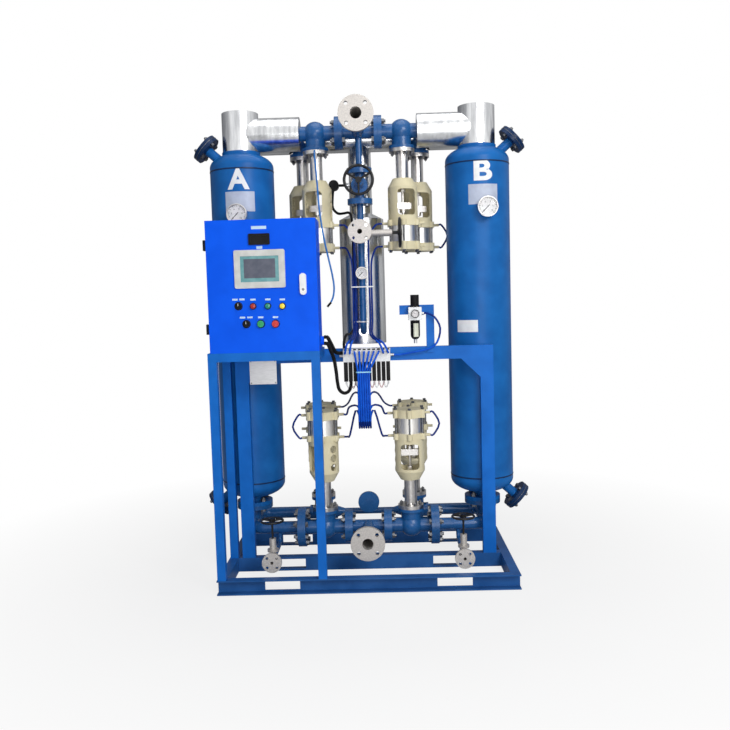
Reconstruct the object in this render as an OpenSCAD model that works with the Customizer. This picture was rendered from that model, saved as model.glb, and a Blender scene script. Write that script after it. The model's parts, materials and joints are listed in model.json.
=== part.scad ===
// Twin-tower heated desiccant air dryer on a channel skid, standing on Z = 0.
// +X is to the right seen from the front, +Y runs to the back, the origin is under the skid's middle.

/* [Skid] */
// Width of the skid
skid_w = 1420; // [1380:10:1500]
// Depth of the skid
skid_d = 800; // [780:10:900]
// Height of the skid channels
channel_h = 70; // [60:1:90]
// Flange width of the skid channels
channel_flange = 45; // [42:1:60]
// Wall of the skid channels
channel_t = 6; // [5:0.5:8]
// Face of the middle channel behind the front edge
mid_back = 334; // [320:1:345]
// Width of a fork pocket
pocket_w = 165; // [120:5:200]
// Fork pocket centre from the middle
pocket_x = 406; // [380:1:430]
// Web left above and below a fork pocket
pocket_margin = 4; // [2:1:10]
// Anchor hole diameter
anchor_d = 14; // [12:1:18]

/* [Portal] */
// Width of a portal post
post_w = 65; // [60:1:70]
// Depth of a portal post
post_d = 40; // [36:1:44]
// Wall of posts and beam
post_wall = 4; // [3:0.5:6]
// Post centre from the middle
post_x = 610; // [600:1:620]
// Top of the portal beam above the floor
beam_top = 1122; // [1115:1:1126]
// Height of the portal beam
beam_h = 65; // [60:1:70]
// Leg of a corner gusset
gusset_leg = 95; // [60:1:120]
// Thickness of gussets and brackets
plate_t = 6; // [4:1:8]
// Height of a tower saddle
saddle_h = 120; // [80:5:160]
// Room between a post and its tower
saddle_t = 8; // [6:1:12]

/* [Cabinet] */
// Width of the control cabinet
cab_w = 500; // [500:10:520]
// Height of the control cabinet
cab_h = 600; // [600:10:650]
// Depth of the cabinet with its door
cab_d = 200; // [180:5:250]
// Left side of the cabinet
cab_x = -692; // [-700:1:-688]
// Underside of the cabinet above the floor
cab_z = 1135; // [1130:1:1145]
// Sheet of the cabinet
cab_sheet = 2; // [1.5:0.5:3]
// Depth of the door pan
door_d = 20; // [18:1:24]
// Gap between door and box
door_gap = 1; // [0.5:0.5:2]
// Hinge pin diameter
hinge_pin_d = 6; // [5:1:8]
// Square tube of the cabinet stand
stand_tube = 40; // [36:1:44]
// Wall of the stand tube
stand_wall = 3; // [2:0.5:4]
// Stand side beyond the cabinet side
stand_over = 13; // [8:1:14]

/* [Towers] */
// Outside diameter of a tower
tower_d = 324; // [310:2:330]
// Wall of a tower
tower_wall = 8; // [6:1:10]
// Tower axis from the middle
tower_x = 602; // [598:1:606]
// Lower weld seam above the floor
seam_low = 437; // [430:1:450]
// Upper weld seam above the floor
seam_high = 2028; // [2020:1:2034]
// Height of a dished head
head_h = 78; // [74:1:79]
// Straight part of a head beyond its weld seam
head_skirt = 20; // [10:1:24]
// Tower collar diameter
collar_d = 194; // [188:1:204]
// Nozzle flange diameter under a tower
nozzle_flange_d = 185; // [175:1:200]
// Top of the nozzle flange above the floor
nozzle_top = 322; // [318:1:328]
// Service port flange diameter
port_flange_d = 150; // [140:1:160]
// Service port lean from the vertical
port_lean = 48; // [44:1:52]
// Service port joint along its axis
port_reach = 241; // [236:1:248]
// Bed screen thickness
screen_t = 8; // [6:1:12]

/* [Headers] */
// Upper headers' axis above the floor
outlet_z = 2212; // [2206:1:2216]
// Lower headers' axis above the floor
inlet_z = 200; // [192:1:208]
// Lower front header's axis ahead of the towers' axes
lower_y = 119; // [109:1:124]
// Lower rear header's axis behind the towers' axes
exhaust_y = 171; // [161:1:176]
// Header pipe outside diameter
pipe_d = 60.3; // [57:0.1:62]
// Wall of the pipes
pipe_t = 4; // [3:0.5:5]
// Small pipe outside diameter
small_pipe_d = 33.7; // [32:0.1:36]
// Drain pipe outside diameter
drain_pipe_d = 21.3; // [20:0.1:24]
// Interface flange diameter
port_d = 165; // [160:1:170]
// Interface flange bolt circle
port_pcd = 125; // [120:1:128]
// Interface flange bore
port_bore = 54; // [50:1:56]
// Bolt hole of the interface and header flanges
bolt_hole_d = 18; // [17:0.5:20]
// Interface face in front of the middle
port_y = -300; // [-330:1:-280]
// Thickness of the large flanges
flange_t = 20; // [18:1:24]
// Large outer flange diameter on the lower header
outer_flange_d = 200; // [195:1:210]
// Bolt circle of the large outer flanges
outer_pcd = 160; // [150:1:165]
// Inner valve flange joint from the middle
joint_x = 100; // [95:1:105]
// Bend radius of the lower links
link_bend = 60; // [56:1:64]

/* [Control valves] */
// Front valve axis from the middle
valve_x = 220; // [216:1:224]
// Upper rear valve axis from the middle
regen_x = 305; // [302:1:312]
// Lower rear valve axis from the middle
exhaust_x = 250; // [240:1:260]
// Round belly of a valve body
belly_d = 120; // [112:1:126]
// Column of a valve body
column_d = 100; // [92:1:106]
// Neck of a valve body
neck_d = 76; // [72:1:84]
// Weld neck from the valve axis
weld_neck = 75; // [70:1:80]
// Bonnet joint from the pipe axis
bonnet_rise = 90; // [84:1:96]
// Bonnet flange diameter
bonnet_flange_d = 130; // [124:1:136]
// Bonnet flange thickness
bonnet_flange_t = 18; // [14:1:20]
// Bonnet tube diameter
bonnet_d = 64; // [60:1:70]
// Bonnet tube length
bonnet_len = 132; // [120:1:140]
// Yoke outside diameter
yoke_d = 152; // [146:1:156]
// Yoke wall
yoke_wall = 13; // [11:1:16]
// Yoke height
yoke_h = 210; // [200:1:220]
// Yoke window width
window_w = 92; // [84:1:98]
// Actuator cap diameter
cap_d = 184; // [180:1:186]
// Lower actuator cap thickness
low_cap_t = 30; // [26:1:34]
// Upper actuator cap thickness
top_cap_t = 42; // [38:1:46]
// Actuator barrel outside diameter
barrel_d = 142; // [136:1:146]
// Actuator barrel wall
barrel_wall = 5; // [4:0.5:6]
// Actuator barrel length
barrel_len = 80; // [74:1:90]
// Valve stem diameter
stem_d = 14; // [12:1:16]
// Valve travel
travel = 20; // [16:1:22]

/* [Cladding and heater] */
// Riser cladding diameter
riser_d = 186; // [182:1:190]
// Top of the riser cladding above the floor
riser_top = 2322; // [2312:1:2336]
// Diameter of the cladding on the front pipes
branch_d = 170; // [164:1:174]
// Inner end of the front pipe cladding from the middle
branch_end = 298; // [297:1:302]
// Diameter of the cladding on the regeneration header
regen_d = 140; // [136:1:142]
// Bend radius of the regeneration header
regen_bend = 75; // [75:1:80]
// Cladding sheet
clad_t = 2; // [1:0.5:3]
// Heater jacket diameter
heater_d = 236; // [224:2:240]
// Heater jacket underside above the floor
heater_low = 1128; // [1126:1:1134]
// Heater jacket shoulder above the floor
heater_high = 1786; // [1776:1:1796]
// Heater outlet cladding diameter
heater_neck_d = 120; // [114:1:126]

/* [Purge line] */
// Purge valve axis above the floor
purge_z = 1940; // [1932:1:1946]
// Half the purge valve's length
purge_half = 78; // [74:1:82]
// Purge flange diameter
purge_flange_d = 128; // [118:1:134]
// Small flange thickness
small_flange_t = 14; // [12:1:16]
// Large handwheel diameter
wheel_d = 152; // [140:1:160]
// Handwheel rim diameter
rim_d = 14; // [12:1:16]
// Front handwheel plane ahead of the purge pipe's axis
wheel_y = 240; // [234:1:248]
// Test port axis above the floor
test_z = 1689; // [1680:1:1696]
// Test port flange diameter
test_d = 115; // [110:1:120]
// Test port bolt circle
test_pcd = 85; // [80:1:86]
// Test port bore
test_bore = 24; // [20:1:26]
// Test port face ahead of the purge pipe's axis
test_y = 290; // [284:1:300]
// Side handwheel plane from the middle
side_wheel_x = 196; // [192:1:206]
// Line gauge height above the floor
line_gauge_z = 1496; // [1488:1:1504]
// Bend radius at the foot of the purge pipe
purge_bend = 40; // [38:1:42]
// Height of the heater inlet above the floor
heater_inlet_z = 1195; // [1188:1:1202]

/* [Drains and gauges] */
// Drain valve axis from the middle
drain_x = 460; // [455:1:465]
// Drain axis above the floor
drain_z = 122; // [120:1:128]
// Drain flange diameter
drain_flange_d = 95; // [90:1:98]
// Drain flange bolt circle
drain_pcd = 65; // [62:1:68]
// Drain flange bore
drain_bore = 15; // [13:1:17]
// Drain flange face in front of the middle
drain_face = -312; // [-320:1:-306]
// Drain handwheel diameter
drain_wheel_d = 116; // [108:1:122]
// Drain handwheel height above the floor
drain_wheel_z = 312; // [306:1:318]
// Tower gauge diameter
gauge_d = 100; // [94:1:104]
// Line gauge diameter
line_gauge_d = 62; // [58:1:66]
// Regulator gauge diameter
small_gauge_d = 40; // [36:1:42]
// Gauge case depth
gauge_h = 30; // [26:1:34]
// Tower gauge height above the floor
gauge_z = 1797; // [1790:1:1804]
// Left tower gauge outward of the tower axis
gauge_out_a = 0; // [-4:1:8]
// Right tower gauge outward of the tower axis
gauge_out_b = 25; // [20:1:30]

/* [Air preparation] */
// Regulator axis from the middle
frl_x = 258; // [254:1:262]
// Underside of the regulator body above the floor
frl_z = 1254; // [1250:1:1258]
// Regulator body height
frl_h = 64; // [60:1:68]
// Regulator bowl diameter
bowl_d = 46; // [42:1:48]
// Regulator knob diameter
knob_d = 42; // [38:1:46]
// Width of the solenoid manifold
rail_w = 232; // [220:1:240]
// Solenoid stations on the manifold
stations = 10; // [8:1:10]
// Depth of the manifold rail
rail_d = 45; // [40:1:48]
// Pilot hose diameter
hose_d = 10; // [8:1:10]
// Control cable diameter
cable_d = 14; // [12:1:16]

/* [Hidden] */
$fn = 48;
eps = 1;
fit = 0.3;
running = 0.05;

paint = "#1f5597";
bright_blue = "#1464e8";
steel = "#b9bcc0";
cream = "#d6cda4";
black = "#1b1b1d";

a_side = -1;
b_side = 1;
sides = [a_side, b_side];

front_y = -skid_d / 2;
mid_y = front_y + mid_back;
post_back = mid_y + post_d;
tower_r = tower_d / 2;
tower_y = post_back + saddle_t + tower_r;
inlet_y = tower_y - lower_y;
purge_out_y = tower_y + exhaust_y;
wheel_plane = tower_y - wheel_y;
test_face = tower_y - test_y;
beam_low = beam_top - beam_h;
collar_top = outlet_z - branch_d / 2 - 1;

// A straight tube along +Z
module tube(d, t, h) {
  difference() {
    cylinder(d = d, h = h);
    translate([0, 0, -eps]) cylinder(d = d - 2 * t, h = h + 2 * eps);
  }
}

// A quarter bend that leaves the point (bend, 0, 0) along +Y and ends at (0, bend, 0)
module quarter_bend(d, bend) {
  rotate_extrude(angle = 90) translate([bend, 0]) circle(d = d);
}

// Children's +Z is turned to +X, -X, +Y or -Y
module to_x() rotate([0, 90, 0]) children();
module to_neg_x() rotate([0, -90, 0]) children();
module to_y() rotate([-90, 0, 0]) children();
module to_neg_y() rotate([90, 0, 0]) children();

// Children mirrored to the left side or upside down where the flag asks for it
module facing(side, up = 1) {
  mirror([side < 0 ? 1 : 0, 0, 0]) mirror([0, 0, up < 0 ? 1 : 0]) children();
}

// Places on a bolt circle that straddle the centre lines
module on_circle(pcd, count) {
  for (i = [0 : count - 1])
    rotate([0, 0, (i + 0.5) * 360 / count]) translate([pcd / 2, 0, 0]) children();
}

// Bolt holes of a flange that lies from 0 to t
module bolt_holes(pcd, count, d, t) {
  on_circle(pcd, count) translate([0, 0, -eps]) cylinder(d = d, h = t + 2 * eps);
}

// A drilled blank flange from 0 to t
module blank_flange(d, t, pcd, count, hole) {
  difference() {
    cylinder(d = d, h = t);
    bolt_holes(pcd, count, hole, t);
  }
}

// A box tube with both ends open, from 0 to h
module box_tube(w, d, wall, h) {
  difference() {
    cube([w, d, h]);
    translate([wall, wall, -eps]) cube([w - 2 * wall, d - 2 * wall, h + 2 * eps]);
  }
}

// A flat plate with rounded corners, from 0 to t, centred on the axis
module rounded_plate(w, h, r, t) {
  translate([-w / 2 + r, -h / 2, 0]) cube([w - 2 * r, h, t]);
  translate([-w / 2, -h / 2 + r, 0]) cube([w, h - 2 * r, t]);
  for (sx = sides, sy = sides)
    translate([sx * (w / 2 - r), sy * (h / 2 - r), 0]) cylinder(r = r, h = t);
}

// Skid

// A channel along +X from the origin, open to -Y
module channel_bar(length) {
  difference() {
    cube([length, channel_flange, channel_h]);
    translate([-eps, -eps, channel_t])
      cube([length + 2 * eps, channel_flange - channel_t + eps, channel_h - 2 * channel_t]);
  }
}

module base_skid() {
  side_len = skid_d - 2 * channel_flange;
  pocket_h = channel_h - 2 * (channel_t + pocket_margin);
  color(paint) difference() {
    union() {
      translate([-skid_w / 2, front_y, 0]) channel_bar(skid_w);
      translate([skid_w / 2, -front_y, 0]) rotate([0, 0, 180]) channel_bar(skid_w);
      translate([skid_w / 2 - channel_flange, mid_y + channel_flange, 0])
        rotate([0, 0, 180]) channel_bar(skid_w - 2 * channel_flange);
      translate([-skid_w / 2, -front_y - channel_flange, 0]) rotate([0, 0, -90]) channel_bar(side_len);
      translate([skid_w / 2, front_y + channel_flange, 0]) rotate([0, 0, 90]) channel_bar(side_len);
    }
    for (sx = sides) {
      translate([sx * pocket_x - pocket_w / 2, front_y - eps, channel_t + pocket_margin])
        cube([pocket_w, skid_d + 2 * eps, pocket_h]);
      for (sy = sides)
        translate([sx * pocket_x, sy * (skid_d - channel_flange) / 2, -eps])
          cylinder(d = anchor_d, h = channel_t + 2 * eps);
    }
  }
}

// Portal

saddle_heights = [600, 990];
bracket_x = 313;
bracket_w = 40;
bracket_top = 1328;
bracket_arm = 170;
bracket_arm_h = 46;
bracket_lap = 30;

module support_portal() {
  beam_w = 2 * post_x + post_w;
  color(paint) difference() {
    union() {
      for (s = sides)
        translate([s * post_x - post_w / 2, mid_y, channel_h])
          box_tube(post_w, post_d, post_wall, beam_low - channel_h);
      translate([-beam_w / 2, mid_y, beam_low]) difference() {
        cube([beam_w, post_d, beam_h]);
        translate([post_wall, post_wall, post_wall])
          cube([beam_w - 2 * post_wall, post_d - 2 * post_wall, beam_h - 2 * post_wall]);
      }
      for (s = sides) facing(s)
        translate([post_x - post_w / 2, mid_y + plate_t, beam_low]) rotate([90, 0, 0])
          linear_extrude(plate_t) polygon([[0, 0], [-gusset_leg, 0], [0, -gusset_leg]]);
      for (s = sides, z = saddle_heights)
        translate([s * post_x - post_w / 2, post_back, z - saddle_h / 2])
          cube([post_w, saddle_t + tower_r / 4, saddle_h]);
      translate([bracket_x, mid_y - plate_t, beam_top - bracket_lap])
        cube([bracket_w, plate_t, bracket_top - beam_top + bracket_lap]);
      translate([bracket_x + bracket_w - bracket_arm, mid_y - plate_t, bracket_top - bracket_arm_h])
        cube([bracket_arm, plate_t, bracket_arm_h]);
    }
    for (s = sides)
      translate([s * tower_x, tower_y, channel_h]) cylinder(d = tower_d + 2 * fit, h = beam_top);
  }
}

// Cabinet stand

stand_left = cab_x - stand_over;
stand_right = cab_x + cab_w;
stand_top = cab_z;
rail_low = stand_top - stand_tube;

module cabinet_stand() {
  stand_w = stand_right - stand_left;
  side_rail = mid_y - front_y - stand_tube;
  color(paint) {
    for (x = [stand_left, stand_right - stand_tube])
      translate([x, front_y, channel_h]) box_tube(stand_tube, stand_tube, stand_wall, rail_low - channel_h);
    translate([stand_left, mid_y, channel_h])
      box_tube(stand_tube, stand_tube, stand_wall, rail_low - channel_h);
    translate([stand_left, front_y, rail_low]) cube([stand_w, stand_tube, stand_tube]);
    translate([stand_left, front_y + stand_tube, rail_low]) cube([stand_tube, side_rail + stand_tube, stand_tube]);
    translate([stand_right - stand_tube, front_y + stand_tube, rail_low])
      cube([stand_tube, side_rail, stand_tube]);
    translate([stand_left + stand_tube, front_y + cab_d - stand_tube, rail_low])
      cube([stand_w - 2 * stand_tube, stand_tube, stand_tube]);
  }
}

// Towers

head_steps = 18;
nozzle_bore = 68;
nozzle_neck_d = 90;
nozzle_bolts = 4;
nozzle_pcd = 145;
port_neck_d = 48;
port_bore_d = 38;
port_pcd_small = 110;
small_hole_d = 14;
port_flange_t = 17;
port_drop = 37;
boss_d = 32;
gauge_seat_y = tower_y - tower_r - 12;
head_low = seam_low - head_skirt;
head_high = seam_high + head_skirt;
function gauge_out(s) = s < 0 ? gauge_out_a : gauge_out_b;

// Half outline of a vessel, from its lower pole to its upper pole
function vessel_outline(r, head) = concat(
  [for (i = [0 : head_steps]) let (a = -90 + 90 * i / head_steps) [r * cos(a), head_low + head * sin(a)]],
  [for (i = [0 : head_steps]) let (a = 90 * i / head_steps) [r * cos(a), head_high + head * sin(a)]]
);

module vessel_body(r, head) {
  rotate_extrude($fn = 96) polygon(vessel_outline(r, head));
}

// Children on a service port's axis, whose +Z points out of the head
module on_ports() {
  translate([0, 0, seam_high - port_drop]) rotate([0, port_lean, 0]) children();
  translate([0, 0, seam_low + port_drop]) mirror([0, 0, 1]) rotate([0, port_lean, 0]) children();
}

module tower(s) {
  color(paint) translate([s * tower_x, tower_y, 0]) facing(s) difference() {
    union() {
      vessel_body(tower_r, head_h);
      translate([0, 0, head_high + head_h / 2]) cylinder(d = collar_d, h = collar_top - head_high - head_h / 2);
      translate([0, 0, nozzle_top]) cylinder(d = nozzle_neck_d, h = seam_low - nozzle_top);
      translate([0, 0, nozzle_top - flange_t])
        blank_flange(nozzle_flange_d, flange_t, nozzle_pcd, nozzle_bolts, bolt_hole_d);
      on_ports() {
        cylinder(d = port_neck_d, h = port_reach);
        translate([0, 0, port_reach - port_flange_t])
          blank_flange(port_flange_d, port_flange_t, port_pcd_small, nozzle_bolts, small_hole_d);
      }
      translate([gauge_out(s), 0, gauge_z]) to_neg_y() cylinder(d = boss_d, h = tower_y - gauge_seat_y);
    }
    vessel_body(tower_r - tower_wall, head_h - tower_wall);
    translate([0, 0, seam_high]) cylinder(d = nozzle_bore, h = collar_top);
    translate([0, 0, nozzle_top - flange_t - eps]) cylinder(d = nozzle_bore, h = seam_low - nozzle_top);
    on_ports() cylinder(d = port_bore_d, h = port_reach + eps);
  }
}

module tower_a_vessel() { tower(a_side); }
module tower_b_vessel() { tower(b_side); }

bed_d = tower_d - 2 * tower_wall - 2 * fit;
bed_low = seam_low + 20;
bed_high = seam_high - 40;

module desiccant_beds() {
  color("#efe9dc") for (s = sides)
    translate([s * tower_x, tower_y, bed_low]) cylinder(d = bed_d, h = bed_high - bed_low);
}

screen_holes = 6;
screen_hole_d = 40;

module bed_screens() {
  color(steel) for (s = sides, z = [bed_low - screen_t, bed_high])
    translate([s * tower_x, tower_y, z]) difference() {
      cylinder(d = bed_d, h = screen_t);
      bolt_holes(bed_d / 2, screen_holes, screen_hole_d, screen_t);
    }
}

module service_port_covers() {
  color(paint) for (s = sides)
    translate([s * tower_x, tower_y, 0]) facing(s) on_ports() translate([0, 0, port_reach])
      blank_flange(port_flange_d, port_flange_t, port_pcd_small, nozzle_bolts, small_hole_d);
}

// Cladding, top pipes and heater

rear_y = tower_y + riser_d / 2 + clad_t + regen_bend;
regen_seat = rear_y - regen_bend;
collar_low = outlet_z - regen_d / 2 - 12;
bonnet_hole_d = bonnet_flange_d + 10;

// Outer or, with the sheet as inset, inner volume of a riser's cladding
module riser_volume(inset) {
  translate([0, 0, collar_top + inset]) cylinder(d = riser_d - 2 * inset, h = riser_top - collar_top - 2 * inset);
  translate([branch_end - tower_x + inset, 0, outlet_z]) to_x()
    cylinder(d = branch_d - 2 * inset, h = tower_x - branch_end - inset);
  translate([0, 0, outlet_z]) to_y() cylinder(d = regen_d - 2 * inset, h = regen_seat - tower_y);
}

module riser_cladding() {
  color(steel) for (s = sides)
    translate([s * tower_x, tower_y, 0]) facing(s) difference() {
      riser_volume(0);
      riser_volume(clad_t);
      translate([branch_end - tower_x - eps, 0, outlet_z]) to_x()
        cylinder(d = pipe_d + 2 * fit, h = clad_t + 2 * eps);
      translate([0, regen_seat - tower_y - clad_t, outlet_z]) to_y()
        cylinder(d = regen_d - 2 * clad_t, h = clad_t + 2 * eps);
      translate([0, 0, collar_top - eps]) cylinder(d = nozzle_neck_d, h = clad_t + 2 * eps);
    }
}

module regen_volume(inset) {
  run = tower_x - regen_bend;
  for (s = sides) facing(s) translate([run, rear_y - regen_bend, outlet_z])
    quarter_bend(regen_d - 2 * inset, regen_bend);
  translate([-run, rear_y, outlet_z]) to_x() cylinder(d = regen_d - 2 * inset, h = 2 * run);
}

module regen_header_cladding() {
  neck_h = outlet_z - collar_low;
  color(steel) difference() {
    union() {
      regen_volume(0);
      translate([0, rear_y, collar_low]) cylinder(d = heater_neck_d, h = neck_h);
    }
    regen_volume(clad_t);
    translate([0, rear_y, collar_low - eps]) cylinder(d = heater_neck_d - 2 * clad_t, h = neck_h + eps);
    for (s = sides)
      translate([s * regen_x, rear_y, outlet_z - regen_d]) cylinder(d = bonnet_hole_d, h = regen_d);
  }
}

// One riser with its front and rear branches
module riser_pipe(inset) {
  rise = outlet_z + nozzle_bore / 2 + 2 * pipe_t - collar_top;
  front_end = valve_x + weld_neck;
  rear_end = regen_x + weld_neck;
  bend_run = tower_x - regen_bend;
  d = pipe_d - 2 * inset;
  translate([tower_x, tower_y, collar_top - (inset > 0 ? eps : 0)])
    cylinder(d = nozzle_bore + 2 * pipe_t - 2 * inset, h = rise - inset);
  translate([front_end - (inset > 0 ? eps : 0), tower_y, outlet_z]) to_x()
    cylinder(d = d, h = tower_x - front_end);
  translate([tower_x, tower_y, outlet_z]) to_y() cylinder(d = d, h = rear_y - regen_bend - tower_y);
  translate([bend_run, rear_y - regen_bend, outlet_z]) quarter_bend(d, regen_bend);
  translate([rear_end - (inset > 0 ? eps : 0), rear_y, outlet_z]) to_x()
    cylinder(d = d, h = bend_run - rear_end + (inset > 0 ? eps : 0));
}

module top_pipes() {
  half = regen_x - weld_neck;
  color(paint) {
    for (s = sides) facing(s) difference() {
      riser_pipe(0);
      riser_pipe(pipe_t);
    }
    difference() {
      union() {
        translate([-half, rear_y, outlet_z]) to_x() cylinder(d = pipe_d, h = 2 * half);
        translate([0, rear_y, collar_low]) cylinder(d = pipe_d, h = outlet_z - collar_low);
      }
      translate([-half - eps, rear_y, outlet_z]) to_x() cylinder(d = pipe_d - 2 * pipe_t, h = 2 * half + 2 * eps);
      translate([0, rear_y, collar_low - eps]) cylinder(d = pipe_d - 2 * pipe_t, h = outlet_z - collar_low);
    }
  }
}

shoulder_h = 30;
heater_wall = 3;
heater_plate = 12;
inlet_boss_d = 50;
sensor_z = 1972;
sensor_boss_d = 24;
sensor_boss = 20;

module heater_outline(inset) {
  r = heater_d / 2 - inset;
  n = heater_neck_d / 2 - inset;
  lift = inset > 0 ? heater_plate : 0;
  top = collar_low + (inset > 0 ? eps : 0);
  rotate_extrude($fn = 96)
    polygon([[0, heater_low + lift], [r, heater_low + lift], [r, heater_high - inset],
             [n, heater_high + shoulder_h - inset], [n, top], [0, top]]);
}

module heater_shell() {
  color(steel) translate([0, rear_y, 0]) difference() {
    union() {
      heater_outline(0);
      translate([0, 0, heater_inlet_z]) to_neg_y() cylinder(d = inlet_boss_d, h = rear_y - tower_y - purge_bend);
      translate([0, 0, sensor_z]) to_neg_x() cylinder(d = sensor_boss_d, h = heater_neck_d / 2 + sensor_boss);
    }
    heater_outline(heater_wall);
    translate([0, 0, heater_inlet_z]) to_neg_y()
      cylinder(d = small_pipe_d - 2 * pipe_t, h = rear_y - tower_y - purge_bend + eps);
  }
}

element_count = 6;
element_d = 12;
element_circle = 130;
element_top = heater_high - 66;

module heater_elements() {
  color("#6f6a66") translate([0, rear_y, heater_low + heater_plate]) {
    on_circle(element_circle, element_count)
      cylinder(d = element_d, h = element_top - heater_low - heater_plate);
    translate([0, 0, element_top - heater_low - heater_plate - element_d])
      cylinder(d = element_circle + 2 * element_d, h = element_d);
  }
}

// Main headers and interface flanges

cross_hole = 4;
tee_d = 68;
stub_low = purge_z + purge_half;

// A flange along +X whose face is at the given place
module header_flange(d, pcd, count) {
  to_x() blank_flange(d, flange_t, pcd, count, bolt_hole_d);
}

// The common run of a main header, with its neck to the front
module header_run(y, z) {
  for (s = sides) facing(s) translate([joint_x - flange_t, y, z]) header_flange(port_d, port_pcd, cross_hole);
  translate([-joint_x + flange_t, y, z]) to_x() cylinder(d = pipe_d, h = 2 * (joint_x - flange_t));
  translate([0, y, z]) to_neg_y() cylinder(d = pipe_d, h = y - port_y - flange_t);
}

module header_bore(y, z) {
  translate([-joint_x - eps, y, z]) to_x() cylinder(d = pipe_d - 2 * pipe_t, h = 2 * joint_x + 2 * eps);
  translate([0, y, z]) to_neg_y() cylinder(d = pipe_d - 2 * pipe_t, h = y - port_y);
}

module main_headers() {
  color(paint) {
    difference() {
      header_run(inlet_y, inlet_z);
      header_bore(inlet_y, inlet_z);
    }
    difference() {
      union() {
        header_run(tower_y, outlet_z);
        translate([0, tower_y, stub_low]) cylinder(d = small_pipe_d, h = outlet_z - stub_low);
        translate([0, tower_y, stub_low])
          blank_flange(purge_flange_d, small_flange_t, purge_pcd, cross_hole, small_hole_d);
      }
      header_bore(tower_y, outlet_z);
      translate([0, tower_y, stub_low - eps]) cylinder(d = small_pipe_d - 2 * pipe_t, h = outlet_z - stub_low);
    }
  }
}

module port_flanges() {
  color(steel) for (z = [inlet_z, outlet_z])
    translate([0, port_y, z]) to_y() difference() {
      blank_flange(port_d, flange_t, port_pcd, cross_hole, bolt_hole_d);
      translate([0, 0, -eps]) cylinder(d = port_bore, h = flange_t + 2 * eps);
    }
}

outer_count = 8;
outer_joint = 2 * valve_x - joint_x;
link_tee = 262;

// Pipework from the lower valves to a tower's foot, with its drain
module link_volume(inset) {
  d = pipe_d - 2 * inset;
  out = inset > 0 ? eps : 0;
  top = nozzle_top - 2 * flange_t;
  translate([outer_joint - out, inlet_y, inlet_z]) to_x()
    cylinder(d = d, h = tower_x - link_bend - outer_joint + out);
  translate([tower_x - link_bend, inlet_y + link_bend, inlet_z]) rotate([0, 0, -90]) quarter_bend(d, link_bend);
  translate([tower_x, inlet_y + link_bend, inlet_z]) to_y()
    cylinder(d = d, h = purge_out_y - inlet_y - 2 * link_bend);
  translate([tower_x - link_bend, purge_out_y - link_bend, inlet_z]) quarter_bend(d, link_bend);
  translate([exhaust_x + weld_neck - out, purge_out_y, inlet_z]) to_x()
    cylinder(d = d, h = tower_x - link_bend - exhaust_x - weld_neck + out);
  translate([tower_x, tower_y, inlet_z]) cylinder(d = d, h = top - inlet_z + out);
}

drain_back = -200;
drain_bend = 32;

module drain_line(inset) {
  d = drain_pipe_d - 2 * inset;
  out = inset > 0 ? eps : 0;
  translate([drain_x, inlet_y, drain_z + drain_bend]) cylinder(d = d, h = inlet_z - drain_z - drain_bend);
  translate([drain_x, inlet_y - drain_bend, drain_z + drain_bend]) rotate([0, -90, 0]) rotate([0, 0, 90])
    quarter_bend(d, drain_bend);
  translate([drain_x, drain_back - out, drain_z]) to_y() cylinder(d = d, h = inlet_y - drain_bend - drain_back + out);
}

module lower_links() {
  color(paint) for (s = sides) facing(s) difference() {
    union() {
      link_volume(0);
      drain_line(0);
      translate([outer_joint, inlet_y, inlet_z]) header_flange(outer_flange_d, outer_pcd, outer_count);
      translate([tower_x, tower_y, nozzle_top - 2 * flange_t])
        blank_flange(nozzle_flange_d, flange_t, nozzle_pcd, nozzle_bolts, bolt_hole_d);
    }
    link_volume(pipe_t);
    drain_line(pipe_t / 2);
    translate([tower_x, tower_y, nozzle_top - 2 * flange_t - eps])
      cylinder(d = pipe_d - 2 * pipe_t, h = flange_t + 2 * eps);
  }
}

vent_z = 275;
vent_y = 220;
vent_d = 113;

reducer = 40;

// A header with a reducer at either end, or its bore with the wall as inset
module vent_run(half, inset) {
  out = inset > 0 ? eps : 0;
  to_x() cylinder(d = small_pipe_d - 2 * inset, h = half - reducer);
  translate([half - reducer, 0, 0]) to_x()
    cylinder(d1 = small_pipe_d - 2 * inset, d2 = pipe_d - 2 * inset, h = reducer + out);
}

module exhaust_header() {
  half = exhaust_x - weld_neck;
  color(paint) {
    difference() {
      union() {
        for (s = sides) facing(s) translate([0, purge_out_y, inlet_z]) vent_run(half, 0);
        translate([0, purge_out_y, inlet_z]) cylinder(d = small_pipe_d, h = vent_z - inlet_z + small_pipe_d / 2);
        translate([0, purge_out_y, vent_z]) to_neg_y() cylinder(d = small_pipe_d, h = purge_out_y - vent_y);
      }
      for (s = sides) facing(s) translate([0, purge_out_y, inlet_z]) vent_run(half, pipe_t);
      translate([0, purge_out_y, inlet_z]) cylinder(d = small_pipe_d - 2 * pipe_t, h = vent_z - inlet_z);
      translate([0, purge_out_y, vent_z]) to_neg_y()
        cylinder(d = small_pipe_d - 2 * pipe_t, h = purge_out_y - vent_y + eps);
    }
    translate([0, vent_y - small_flange_t, vent_z]) to_y() cylinder(d = vent_d, h = small_flange_t);
  }
}

// Control valves: the pipe axis is X, the centre of the machine lies at -X, the stack rises along +Z

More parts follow.
